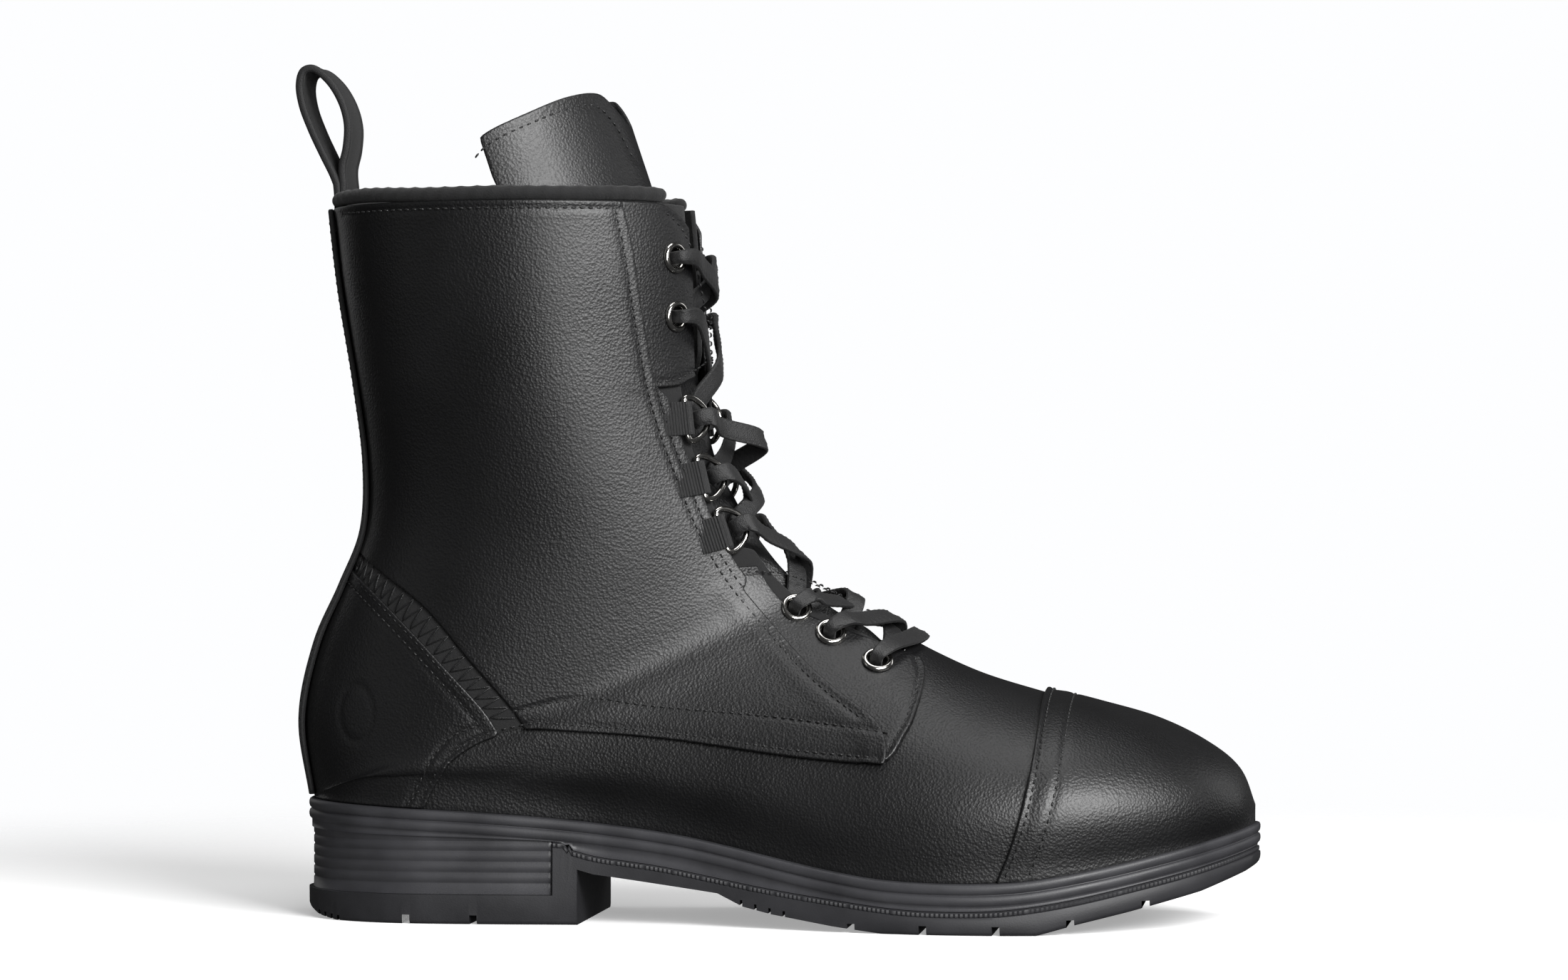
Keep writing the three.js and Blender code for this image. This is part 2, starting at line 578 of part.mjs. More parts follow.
function buildLoop() {
  const { tape, height, depth, lean, hem } = LOOP;
  const shape = new THREE.Shape();
  const at = (x, z) => [HEM.x - (lean * z) / height + x, HEM.z + z];
  const line = (path, points) => points.forEach((p, i) =>
    (i ? path.lineTo(...at(...p)) : path.moveTo(...at(...p))));
  const low = Array.from({ length: 7 }, (_, i) => {
    const a = Math.PI + (i / 6) * Math.PI;
    return [hem * Math.cos(a), hem * Math.sin(a)];
  });
  const back = -depth * 0.42;
  const front = depth * 0.58;
  line(shape, [
    ...low, [front * 0.75, height * 0.22], [front, height * 0.5], [front * 0.8, height * 0.78],
    [1.5, height * 0.96], [-2.5, height], [back, height * 0.86], [back * 0.95, height * 0.6],
    [back * 0.7, height * 0.3],
  ]);
  const hole = new THREE.Path();
  line(hole, [
    [0, height * 0.16], [-1.2, height * 0.3], [back + tape, height * 0.62],
    [back + tape * 0.9, height * 0.82], [-1, height * 0.88], [front - tape - 1.2, height * 0.74],
    [front - tape, height * 0.5], [front * 0.75 - tape * 0.8, height * 0.28],
  ]);
  shape.holes.push(hole);
  const geometry = new THREE.ExtrudeGeometry(shape, { depth: LOOP.width, bevelEnabled: false });
  geometry.rotateX(Math.PI / 2).translate(0, LOOP.width / 2, 0);
  add("pull_loop", solid(geometry), MATERIAL.strap);
}

// ---------------------------------------------------------------- sole
// The points of the feather line, moved out by an offset, heel to toe and back.
function footprint(offset) {
  const steps = 24;
  const at = (side, i) => {
    const station = mix(HEEL_POINT, TOE_POINT, i / steps);
    const point = featherAt(side, station);
    const next = featherAt(side, Math.min(TOE_POINT, station + 0.02));
    const run = next.sub(featherAt(side, Math.max(HEEL_POINT, station - 0.02))).setZ(0);
    if (i === 0) run.set(0, side, 0);
    if (i === steps) run.set(0, -side, 0);
    run.normalize();
    return [point.x - side * run.y * offset, point.y + side * run.x * offset];
  };
  const ring = [];
  for (let i = 0; i <= steps; i++) ring.push(at(-1, i));
  for (let i = steps - 1; i > 0; i--) ring.push(at(1, i));
  return ring;
}

// A solid of stacked outlines of the sole: each level has an offset and a height by x.
function soleLoft(levels) {
  const rings = levels.map(([offset, height]) =>
    footprint(offset).map(([x, y]) => new THREE.Vector3(x, y, height(x))));
  const count = rings[0].length;
  const triangles = [];
  const face = (a, b, c, d) => triangles.push([a, b, c], [a, c, d]);
  for (let k = 0; k + 1 < rings.length; k++) {
    for (let i = 0; i < count; i++) {
      const j = (i + 1) % count;
      face(rings[k][i], rings[k + 1][i], rings[k + 1][j], rings[k][j]);
    }
  }
  const [top, base] = [rings[0], rings.at(-1)];
  for (let i = 0; i < count / 2; i++) {
    const [a, b, c, d] = [i, i + 1, (count - i - 1) % count, (count - i) % count];
    face(top[a], top[b], top[c], top[d]);
    face(base[a], base[d], base[c], base[b]);
  }
  return solid(meshFrom(triangles));
}

const soleTop = (x) => profileHeight(SOLE_TOP, x);
const parting = (x) => profileHeight(PARTING, x);
const soleBottom = (x) => profileHeight(SOLE_BOTTOM, x);

function buildMidsole() {
  const below = (drop) => (x) => Math.max(soleTop(x) - drop, parting(x) + 0.2);
  const band = soleLoft([
    [WELT - 1, soleTop], [WELT, below(0.9)], [WELT, below(2.5)], [WELT - 0.8, below(3.3)],
    [WELT, below(4.1)], [WELT, below(5.8)], [WELT - 0.8, below(6.6)], [WELT - 0.8, parting],
  ]);
  const { low, inset } = HEEL_PANEL;
  const core = soleLoft([[WELT - inset, (x) => parting(x) + 3], [WELT - inset, () => low + GAP]]);
  const heel = [[-175, 0], [HEEL_PANEL.front - GAP, 0], [HEEL_PANEL.front - GAP, 60], [-175, 60]];
  const slot = SHANK.width / 2 + GAP;
  const bed = sidePrism(shankLine(-SHANK.thick - GAP, 5, GAP), -slot, slot);
  const made = band.add(core.intersect(everywhere(heel))).subtract(bed);
  add("midsole", largest(made), MATERIAL.rubber);
}

// The shank's side outline, between two heights from the top of the sole.
function shankLine(low, high, more = 0) {
  const { from, to } = SHANK;
  const xs = [from - more, -80, -60, -40, -24, to + more];
  const line = (rise) => xs.map((x) => [x, soleTop(gradeX(x)) + rise]);
  return [...line(low), ...reversed(line(high))];
}

function buildOutsole() {
  const low = (x) => Math.max(soleBottom(x), 0);
  const blank = soleLoft([
    [WELT - 0.8, (x) => parting(x) - GAP], [WELT - 0.2, (x) => parting(x) - 1.4],
    [WELT, (x) => (parting(x) + low(x)) / 2], [WELT - 0.6, (x) => low(x) + 0.8],
    [WELT - 1.6, low],
  ]);
  const { front, low: seat, high } = HEEL_PANEL;
  const recess = everywhere([[-175, seat], [front, seat], [front, high], [-175, high]]);
  let made = blank.subtract(everywhere(ARCH)).subtract(recess);
  const { width, depth } = TREAD_GROOVE;
  for (const x of GROOVES) {
    const middle = gradeX(x);
    const floor = Math.max(soleBottom(middle - 3), 0) + depth;
    made = made.subtract(box([middle - width / 2, -WIDE, -5], [middle + width / 2, WIDE, floor]));
  }
  add("outsole", largest(made), MATERIAL.rubber);
}

function buildInside() {
  const shank = sidePrism(shankLine(-SHANK.thick, 0), -SHANK.width / 2, SHANK.width / 2);
  add("shank", shank, MATERIAL.steel);
  const above = (rise) => (x) => soleTop(x) + rise;
  const inset = LINED[0] - 1.4;
  const board = GAP + BOARD;
  add("insole_board", soleLoft([[inset, above(board)], [inset, above(GAP)]]), MATERIAL.board);
  const bed = soleLoft([[inset - 1, above(board + GAP + FOOTBED)], [inset, above(board + GAP)]]);
  add("footbed", bed, MATERIAL.foam);
}

// ---------------------------------------------------------------- lacing
// Places of the lacing, bottom to top: station, distance out from the crest, and what carries
// the lace there.
const LACING = [
  { station: 12.5, out: HOLE_LINE + 2, kind: "eyelet" },
  { station: 11.1, out: HOLE_LINE - 1.3, kind: "eyelet" },
  { station: 9.4, out: HOLE_LINE - 4, kind: "eyelet" },
  { station: 5, out: HOLE_LINE, kind: "ring" },
  { station: 3.5, out: HOLE_LINE, kind: "ring" },
  { station: 2.55, out: HOLE_LINE, kind: "ring" },
  { station: 1.43, out: HOLE_LINE, kind: "eyelet" },
  { station: 0.85, out: HOLE_LINE, kind: "eyelet" },
];
const EYELETS = LACING.filter((s) => s.kind === "eyelet");
const RINGS = LACING.filter((s) => s.kind === "ring");
const RING_LIFT = TAB.ply + RING.wire + GAP; // the ring's bar above the backing

// A frame on the last: origin, outward normal, forward (towards the crest) and up the lacing.
function seat(side, station, distance, lift) {
  const across = acrossAt(side, station, distance);
  const point = layerPoint(side, station, across, lift);
  const normal = lastNormal(side, station, across);
  const nearer = layerPoint(side, station, Math.max(0, across - 0.02), lift);
  const forward = nearer.sub(point).projectOnPlane(normal).normalize();
  const up = new THREE.Vector3().crossVectors(forward, normal);
  return { point, normal, forward, up };
}

// Geometry made with x forward, y outwards, moved to its seat.
function placed(geometry, { point, normal, forward, up }) {
  const basis = new THREE.Matrix4().makeBasis(forward, normal, up);
  return geometry.applyMatrix4(basis).translate(point.x, point.y, point.z);
}

// The holes of one side's eyelets, cut through a leather.
function holed(leather, side) {
  return EYELETS.reduce((made, { station, out }) => {
    const radius = EYELET.bore + EYELET.wall + GAP;
    const drill = new THREE.CylinderGeometry(radius, radius, 14, 12);
    return made.subtract(solid(placed(drill, seat(side, station, out, 0))));
  }, leather);
}

// Shallow pockets for the tails of the ring tabs, up to a height above the last.
function pocketed(leather, side, height) {
  return RINGS.reduce((made, { station, out }) => {
    const long = TAB.tail + 11;
    const floor = -TAB.ply - GAP;
    const pocket = new THREE.BoxGeometry(long, height - floor, TAB.width + 2 * GAP);
    pocket.translate(-long / 2 + 8, (height + floor) / 2, 0);
    return made.subtract(solid(placed(pocket, seat(side, station, out, 0))));
  }, leather);
}

// A rolled eyelet: flange outside, barrel through the leathers, crimp inside.
function eyeletGeometry() {
  const { outer, bore, wall, flange } = EYELET;
  const face = OVER[1] + 0.4;
  const back = UNDER[0] - 0.5;
  const crimp = bore + wall + 0.9;
  const profile = [
    [bore, back - 0.3], [crimp, back - 0.3], [bore + wall, back], [bore + wall, face],
    [outer, face], [outer - 0.7, face + flange], [bore, face + flange * 0.6], [bore, back - 0.3],
  ];
  return new THREE.LatheGeometry(profile.map(([r, h]) => new THREE.Vector2(r, h)), 10);
}

// A D-ring: a straight bar closed by a bow, as one wire.
function ringGeometry() {
  const { bar, bow, wire } = RING;
  const half = bar / 2;
  const side = [[0, half - 1.3], [1, half], [bow * 0.5, half * 0.94], [bow * 0.87, half * 0.58]];
  const points = [
    [0, 0], ...side, [bow, 0], ...reversed(side).map(([x, z]) => [x, -z]),
  ].map(([x, z]) => new THREE.Vector3(x, 0, z));
  const path = new THREE.CatmullRomCurve3(points, true, "centripetal");
  return new THREE.TubeGeometry(path, 20, wire, 5, true);
}

// A webbing tab: its tail lies in the backing, its end is folded round the ring's bar.
function tabGeometry() {
  const clear = RING.wire + 0.25;
  const eye = clear + TAB.ply;
  const shape = new THREE.Shape();
  shape.moveTo(-TAB.tail, -TAB.ply);
  shape.lineTo(-1.6, -TAB.ply);
  shape.absarc(0, RING_LIFT, eye, -Math.PI / 2 - 0.35, Math.PI / 2 + 0.5, false);
  shape.lineTo(-3.6, 0.15);
  shape.lineTo(-TAB.tail, 0.15);
  const hole = new THREE.Path();
  hole.absarc(0, RING_LIFT, clear, 0, Math.PI * 2, true);
  shape.holes.push(hole);
  const options = { depth: TAB.width, bevelEnabled: false, curveSegments: 5 };
  return new THREE.ExtrudeGeometry(shape, options).translate(0, 0, -TAB.width / 2);
}

function buildHardware(side, name) {
  EYELETS.forEach(({ station, out }, i) => {
    const at = seat(side, station, out, 0);
    add(`eyelet_${name}_${i + 1}`, solid(placed(eyeletGeometry(), at)), MATERIAL.metal);
  });
  RINGS.forEach(({ station, out }, i) => {
    const at = seat(side, station, out, 0);
    const wire = ringGeometry().translate(0, RING_LIFT, 0);
    add(`d_ring_${name}_${i + 1}`, solid(placed(wire, at)), MATERIAL.metal);
    add(`ring_tab_${name}_${i + 1}`, solid(placed(tabGeometry(), at)), MATERIAL.textile);
  });
}

// One half of the lace, from the middle of the lowest bar up to its end inside the shaft.
function laceHalf(first, crossing) {
  const points = [];
  let side = first;
  const put = (station, distance, lift) => {
    points.push(layerPoint(side, station, acrossAt(side, station, distance), lift));
  };
  const over = OVER[1] + LACE_RADIUS + 0.5;
  const under = UNDER[0] - LACE_RADIUS - 1.2;
  LACING.forEach(({ station, out, kind }, i) => {
    const up = i + 1 < LACING.length ? LACING[i + 1].station : station;
    if (i === 0) put(station, 9, over - 0.3);
    const low = i ? mix(LACING[i - 1].station, station, 0.86) : station;
    if (kind === "eyelet") {
      if (i) put(low, FACING_GAP - 1, over + 0.4);
      put(station, out - 4.4, over + 2);
      put(station, out + 0.2, OVER[1] + 2.6);
      put(station, out + 0.5, 0.6);
      put(station, out, UNDER[0] - 0.6);
      if (i + 1 < LACING.length) {
        put(mix(station, up, 0.04), out - 1.7, under);
        put(mix(station, up, 0.1), out - 5, under);
      }
    } else {
      const rise = RING.wire + LACE_RADIUS + 1.15;
      const bow = out - RING.bow;
      put(low, bow - 3, RING_LIFT + rise - 0.6);
      put(station, bow + 1.2, RING_LIFT + rise);
      put(station, bow + 4, RING_LIFT);
      put(station, bow + 1.2, RING_LIFT - rise);
    }
    if (i + 1 === LACING.length) return;
    put(mix(station, up, 0.2), FACING_GAP - 3, kind === "eyelet" ? under + 0.6 : -1.2);
    points.push(layerPoint(1, mix(station, up, 0.5), 0, crossing));
    side = -side;
  });
  put(0.9, HOLE_LINE + 4, under);
  put(1.02, HOLE_LINE + 8.5, under);
  put(1.3, HOLE_LINE + 10.5, under);
  put(1.55, HOLE_LINE + 10.5, under);
  return points;
}

function buildLace() {
  const upward = laceHalf(1, 0.4 + 2 * LACE_RADIUS + 0.6);
  const middle = layerPoint(1, LACING[0].station, 0, OVER[1] + LACE_RADIUS);
  const points = [...reversed(laceHalf(-1, 0.2)), middle, ...upward];
  const path = new THREE.CatmullRomCurve3(points, false, "centripetal");
  add("lace", rope(path, LACE_RADIUS, 5, 200), MATERIAL.textile);
  addAglet("aglet_1", points[0], points[1]);
  addAglet("aglet_2", points.at(-1), points.at(-2));
}

// The hard tip that carries on from an end of the lace.
function addAglet(name, end, before) {
  const ahead = end.clone().sub(before).normalize();
  const start = end.clone().addScaledVector(ahead, GAP);
  const tip = end.clone().addScaledVector(ahead, GAP + AGLET.length);
  add(name, rope(new THREE.LineCurve3(start, tip), AGLET.radius, 8, 1), MATERIAL.strap);
}

for (const [side, name] of [[-1, "outer"], [1, "inner"]]) {
  buildSide(side, name);
  buildSideLinings(side, name);
  buildHardware(side, name);
}
buildLower();
buildTongue();
buildCollar();
buildStrip();
buildLoop();
buildMidsole();
buildOutsole();
buildInside();
buildLace();

// The origin lies at the bottom centre of the whole boot.
const extent = new THREE.Box3().setFromObject(boot);
const centre = extent.getCenter(new THREE.Vector3());
boot.position.set(-centre.x, -centre.y, -extent.min.z);
const part = new THREE.Group();
part.add(boot);

export default part;
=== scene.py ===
import math

import bmesh
import bpy
import numpy as np
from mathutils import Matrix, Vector


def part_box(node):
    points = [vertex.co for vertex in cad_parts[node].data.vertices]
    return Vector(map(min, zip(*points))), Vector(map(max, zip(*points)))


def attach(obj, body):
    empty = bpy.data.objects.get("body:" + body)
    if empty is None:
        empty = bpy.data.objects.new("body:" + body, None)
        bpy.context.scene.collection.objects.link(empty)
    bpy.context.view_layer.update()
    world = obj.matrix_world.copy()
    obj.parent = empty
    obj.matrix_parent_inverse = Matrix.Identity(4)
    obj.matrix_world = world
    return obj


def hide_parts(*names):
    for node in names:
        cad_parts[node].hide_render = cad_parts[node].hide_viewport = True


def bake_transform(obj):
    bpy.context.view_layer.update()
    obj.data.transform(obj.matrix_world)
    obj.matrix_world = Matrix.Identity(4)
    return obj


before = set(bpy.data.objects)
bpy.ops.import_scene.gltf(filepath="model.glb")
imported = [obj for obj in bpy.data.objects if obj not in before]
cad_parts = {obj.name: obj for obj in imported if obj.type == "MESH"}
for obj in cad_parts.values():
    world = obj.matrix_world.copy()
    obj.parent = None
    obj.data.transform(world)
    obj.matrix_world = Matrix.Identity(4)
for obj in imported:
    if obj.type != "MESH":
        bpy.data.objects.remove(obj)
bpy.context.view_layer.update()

bl_info = {
    "name": "Leather Fire Boot",
    "version": (1, 0, 0),
    "blender": (4, 5, 0),
    "location": "3D View > Sidebar > Fire Boot",
    "description": "Builds a lace-up leather fire boot, its stitching, hardware, sole and studio",
    "category": "Object",
}

# ------------------------------------------------------------------ places and sizes
MM = 0.001  # every size below is in millimetres, as a pattern cutter gives it
LOOP_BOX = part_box("pull_loop")
SHANK_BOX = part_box("shank")
SHANK_MIDDLE = -50.0  # the shank's middle in the pattern's own coordinates
MIDDLE = (LOOP_BOX[0][1] + LOOP_BOX[1][1]) / 2 / MM
AHEAD = (SHANK_BOX[0][0] + SHANK_BOX[1][0]) / 2 / MM - SHANK_MIDDLE
SHIFT = np.array([AHEAD, MIDDLE, 0.0])  # from the pattern's coordinates to the frame's
SHOE = "shoe"

CREST = [
    (-26.5, 0, 232), (-23.5, 0, 200), (-22.3, 0, 170), (-17, 0, 145), (-11, 0, 132.5),
    (-6, 0, 123.5), (-1, 0, 116.5), (4, 0, 110.5), (9, 0, 106), (14.5, 0, 102),
    (20.5, 0, 98), (28, 0, 94), (37, 0, 89), (49, 0.3, 82.6), (64, 1, 75.8),
    (81, 2, 70.6), (99, 3, 66), (116.5, 4, 61), (131, 4.6, 54), (141, 5, 46), (145.6, 5, 35),
]
BACK = [
    (-139.6, 0, 230), (-135.8, 0, 197), (-131.1, 0, 168), (-127.9, 0, 142), (-128.9, 0, 120),
    (-136, 0, 102), (-144, 0, 84), (-148.5, 0, 61), (-144.8, 0, 36.8),
]
FEATHER = [
    (-144.8, 0, 0), (-137, -20.5, 19), (-117, -32, 29.5), (-87, -33.5, 29.5), (-50, -32, 26.5),
    (-10, -37.5, 31), (28, -48, 41.5), (58, -53.5, 46.5), (85, -51.5, 45), (108, -43, 39.5),
    (127.5, -30, 31), (140.3, -13, 22), (145.3, 5, 5),
]
SIDE = [
    (-80, -46, 46, 231), (-77, -44.5, 44.5, 198.5), (-74, -42, 42, 169), (-70, -39, 39, 142),
    (-69, -37, 36.5, 122), (-72, -36, 35, 106), (-78, -35.5, 34, 90), (-86, -35.5, 33.5, 74),
    (-94, -35.5, 33, 58), (-97, -35.5, 32.5, 51), (-86, -36, 32.5, 50), (-60, -35.5, 31, 50),
    (-30, -37, 31.5, 48), (2, -42, 35.5, 43), (35, -50, 43.5, 36), (62, -54.3, 47.3, 31.5),
    (88, -52.2, 45.7, 31), (110, -43.7, 40.2, 32), (128.7, -30.7, 31.7, 33.5),
    (140.8, -13.7, 22.5, 34.5), (145.5, 5, 5, 34.8),
]
HEEL_POINT = len(BACK) - 1
TOE_POINT = len(CREST) - 1
SOLE_TOP = [
    (-151, 37), (-113, 35.3), (-85, 33.9), (-56, 31.5), (-25, 27.6), (6, 21.2), (22, 18.2),
    (38, 16), (61, 15.3), (80, 16.2), (100, 19.4), (119, 23.4), (138, 27.9), (151, 31.5),
]
PARTING = [
    (-160, 28), (-70, 25.7), (-61, 23.2), (-52, 20.9), (-42, 19.6), (-29, 17.8), (-1, 12.8), (22, 9.7),
    (43, 7.4), (62, 7), (77, 7.8), (94, 10.4), (113, 14.5), (132, 19), (155, 25.5),
]
SOLE_BOTTOM = [
    (-155, 7), (-148, 3), (-142, 1), (-135, 0), (84, 0), (96, 3.2), (111, 6.6), (132, 11.8),
    (145, 16.5), (155, 21.5),
]
ARCH = [
    (-58, 17), (-53, 15.6), (-32, 12.9), (-14, 10.6), (-6, 6.8), (3, 4.8), (22, 1.9), (38, 0),
]
HEEL_PANEL = {"front": -65.5, "low": 9, "high": 30, "inset": 1.4}
GROOVES = [-111, -90, 28, 50, 72, 94, 116]
SIPES = [-141.5, -139, -136.5, -134, -6.5, -2, 2.5, 7]

GAP = 0.3  # between pieces that touch
SOFT_GAP = 0.48  # between the last and the leather over the vamp
PLY = 1.7  # thickness of the upper leather
COLLAR = 221.4  # height of the shaft's top edge
FACING_GAP = 13  # from the crest to the front edge of each facing
RING_RECESS = 7
HOLE_LINE = 22  # from the crest to the line of the eyelets and rings
BACKING_WIDTH = 25
WELT = 3.9
EDGE = 0.55  # radius of a cut leather edge
EDGE_THIN = 0.5  # and of the tongue's and the back strip's

# Side-view lines of the pattern: x, z.
FACING_SEAM = [
    (-46.5, 240), (-46, 221.4), (-43, 205), (-40, 183), (-37, 165), (-33, 150), (-28, 136),
    (-22, 121), (-15, 108), (-5.5, 95.5), (8.5, 80.5), (20, 71), (33, 62), (36.8, 56), (37, 50), (35, 40),
]
LOWER_EDGE = [
    (-108.5, 4), (-108, 20), (-106, 34), (-99, 47), (-89, 55), (-77, 58.7), (-65, 59.3), (-32, 57),
    (7, 52), (36, 49.6), (60, 47.4),
]
FRONT_CORNER = [
    (36, 49.6), (40, 52.5), (43, 58), (45.4, 63), (47.3, 72), (47, 77.5), (44.5, 82.5), (42, 90), (46, 112),
]
FLAP_TOP = [(-20, 108.4), (-13, 109), (-4, 109.3), (5, 107.5), (20, 100.5), (35, 93), (60, 84)]
UPPER_FLAP = [
    (-60, 221.4), (-38, 221.4), (-32, 219.5), (-27.5, 214), (-24.5, 205), (-22, 190), (-20.5, 178),
    (-22, 171.5), (-27, 166.8), (-33, 164.6), (-60, 163),
]
BAND_TOP = [
    (-150, 124), (-137, 117.5), (-120.5, 107.2), (-104.9, 96.3), (-91, 80.7), (-77.3, 64.8), (-73, 56),
]
BAND_BASE = [
    (-150, 117), (-137, 110.6), (-124.4, 102.2), (-110.8, 90.4), (-99, 78.7), (-87, 65.9), (-80, 55),
]
SECOND_ROW = [(-78.4, 65.2), (-65.3, 68.3), (-51.6, 68.7), (-32, 66.3), (7.3, 62.8), (38.8, 58.5)]
HEEL_ROW = [(-113, 33), (-110.8, 36.5), (-104.9, 47.2), (-97.1, 57), (-89, 60.9)]
TOE_SEAM = [(69, 6), (71.5, 14.6), (76, 26), (79.5, 38), (82, 52), (83, 72), (83, 115)]


# ------------------------------------------------------------------ curves
def through(rows, at, before=None, after=None):
    """Rows of a smooth curve through the given rows, at fractional places."""
    rows = np.asarray(rows, float)
    at = np.asarray(at, float)
    first = 2 * rows[0] - rows[1] if before is None else np.asarray(before, float)
    last = 2 * rows[-1] - rows[-2] if after is None else np.asarray(after, float)
    padded = np.vstack([first, rows, last])
    i = np.clip(np.floor(at), 0, len(rows) - 2).astype(int)
    k = (at - i)[..., None]
    p0, p1, p2, p3 = (padded[i + n] for n in range(4))
    m1, m2 = (p2 - p0) / 2, (p3 - p1) / 2
    return p1 + k * (m1 + k * (3 * (p2 - p1) - 2 * m1 - m2 + k * (2 * (p1 - p2) + m1 + m2)))


def smooth_line(points, per_leg=10):
    """A side-view line made smooth, with more points."""
    points = np.asarray(points, float)
    count = (len(points) - 1) * per_leg + 1
    return through(points, np.linspace(0, len(points) - 1, count))


def walk(points):
    """The distance walked along a line, at each of its points."""
    return np.concatenate([[0], np.cumsum(np.linalg.norm(np.diff(points, axis=0), axis=1))])


def evenly(points, step):
    """Points at an even distance along a line, and the same for its other columns."""
    points = np.asarray(points, float)
    walked = walk(points[:, :3])
    count = max(2, int(round(walked[-1] / step)) + 1)
    at = np.linspace(0, walked[-1], count)
    columns = [np.interp(at, walked, points[:, n]) for n in range(points.shape[1])]
    return np.stack(columns, 1)


def unit(v):
    """Vectors made one long."""
    return v / np.maximum(np.linalg.norm(v, axis=-1, keepdims=True), 1e-12)


def ease(low, high, value):
    """A soft step from 0 at low to 1 at high."""
    k = np.clip((np.asarray(value, float) - low) / (high - low), 0, 1)
    return k * k * (3 - 2 * k)


def profile(points):
    """A height by x, from a few points."""
    line = smooth_line(points, 8)
    order = np.argsort(line[:, 0])
    return lambda x: np.interp(x, line[order, 0], line[order, 1])


sole_top = profile(SOLE_TOP)
parting_height = profile(PARTING)


def sole_bottom(x):
    xs, zs = zip(*SOLE_BOTTOM)
    return np.maximum(np.interp(x, xs, zs), 0)


def offset_line(line, distance):
    """A line beside a side-view line, to the left of its direction when distance is above 0."""
    line = np.asarray(line, float)
    run = np.gradient(line, axis=0)
    left = unit(np.stack([-run[:, 1], run[:, 0]], 1))
    return line + left * distance


def line_distance(x, z, line):
    """Distance from each side-view point to a line, and above 0 on the line's left."""
    shape = np.shape(x)
    p = np.stack([np.ravel(x), np.ravel(z)], 1)
    line = np.asarray(line, float)
    best = np.full(len(p), 1e9)
    sign = np.ones(len(p))
    for a, b in zip(line[:-1], line[1:]):
        d = b - a
        length2 = max(float(d @ d), 1e-12)
        k = np.clip(((p - a) @ d) / length2, 0, 1)
        gap = p - a - k[:, None] * d
        far = np.hypot(gap[:, 0], gap[:, 1])
        nearer = far < best
        best = np.where(nearer, far, best)
        turn = d[0] * (p[:, 1] - a[1]) - d[1] * (p[:, 0] - a[0])
        sign = np.where(nearer, np.sign(turn) + (turn == 0), sign)
    return (best * sign).reshape(shape)


# ------------------------------------------------------------------ the last
def feather(side, t):
    """Points of the line where the upper meets the sole."""
    rows = np.asarray(FEATHER, float)
    at = t - HEEL_POINT
    outer = through(rows[:, [0, 1]], at, rows[1][[0, 2]], rows[-2][[0, 2]])
    inner = through(rows[:, [0, 2]], at, rows[1][[0, 1]], rows[-2][[0, 1]])
    flat = np.where(side[..., None] < 0, outer, inner)
    return np.concatenate([flat, sole_top(flat[..., 0])[..., None] + GAP], -1)


def bezier(p, a, b, q, k):
    k = k[..., None]
    j = 1 - k
    return p * j ** 3 + a * (3 * j * j * k) + b * (3 * j * k * k) + q * k ** 3


def flat_y(v):
    return v * np.array([1.0, 0.0, 1.0])


def last_core(side, t, s):
    """Points of the last at stations from 0, from the crest (s 0) to the feather line (s 1)."""
    crest = through(CREST, t)
    row = through(SIDE, t)
    middle = np.stack([row[..., 0], np.where(side < 0, row[..., 1], row[..., 2]), row[..., 3]], -1)
    on_seam = (t <= HEEL_POINT)[..., None]
    back = through(BACK, np.minimum(t, HEEL_POINT))
    low_t = np.maximum(t, HEEL_POINT)
    end = np.where(on_seam, back, feather(side, low_t))
    spread = np.abs(middle[..., 1] - crest[..., 1])[..., None]
    lie = unit(flat_y(crest - end))
    low = np.clip((t - HEEL_POINT) / 2, 0, 1)[..., None]
    outward = np.stack([0 * t, side, 0 * t], -1)
    ahead = feather(side, low_t + 0.02) - feather(side, low_t - 0.02)
    ahead = unit(ahead * np.array([1.0, 1.0, 0.0]))
    rim = np.where(on_seam, outward, unit(ahead * (1 - low) + low * np.array([0.0, 0.0, 1.0])))
    reach = np.linalg.norm(flat_y(crest - middle), axis=-1, keepdims=True)
    full = (0.46 + 0.09 * np.clip((t - 12) / 4, 0, 1))[..., None]
    upper = bezier(crest, crest + outward * spread * full, middle + lie * reach * 0.52, middle,
                   np.clip(s * 2, 0, 1))
    reach = np.linalg.norm(flat_y(middle - end), axis=-1, keepdims=True)
    hug = spread * 0.62 * (1 - low) + reach * 0.4 * low
    lower = bezier(middle, middle - lie * reach * 0.5, end + rim * hug, end, np.clip(s * 2 - 1, 0, 1))
    return np.where((s <= 0.5)[..., None], upper, lower)


def last_points(t, v):
    """Points of the last: t from collar to toe, v from the crest (0) to the edge (-1 outer, 1 inner)."""
    t, v = np.broadcast_arrays(np.asarray(t, float), np.asarray(v, float))
    side = np.where(v < 0, -1.0, 1.0)
    s = np.abs(v)
    points = last_core(side, np.maximum(t, 0), s)
    if (t < 0).any():
        zero = np.zeros_like(t)
        run = (last_core(side, zero, s) - last_core(side, zero + 0.02, s)) / 0.02
        points = points + run * np.maximum(-t, 0)[..., None]
    return points


def plane_normal(rows, t, turn):
    run = through(rows, t + 0.03) - through(rows, t - 0.03)
    return unit(np.stack([-run[..., 2] * turn, 0 * t, run[..., 0] * turn], -1))


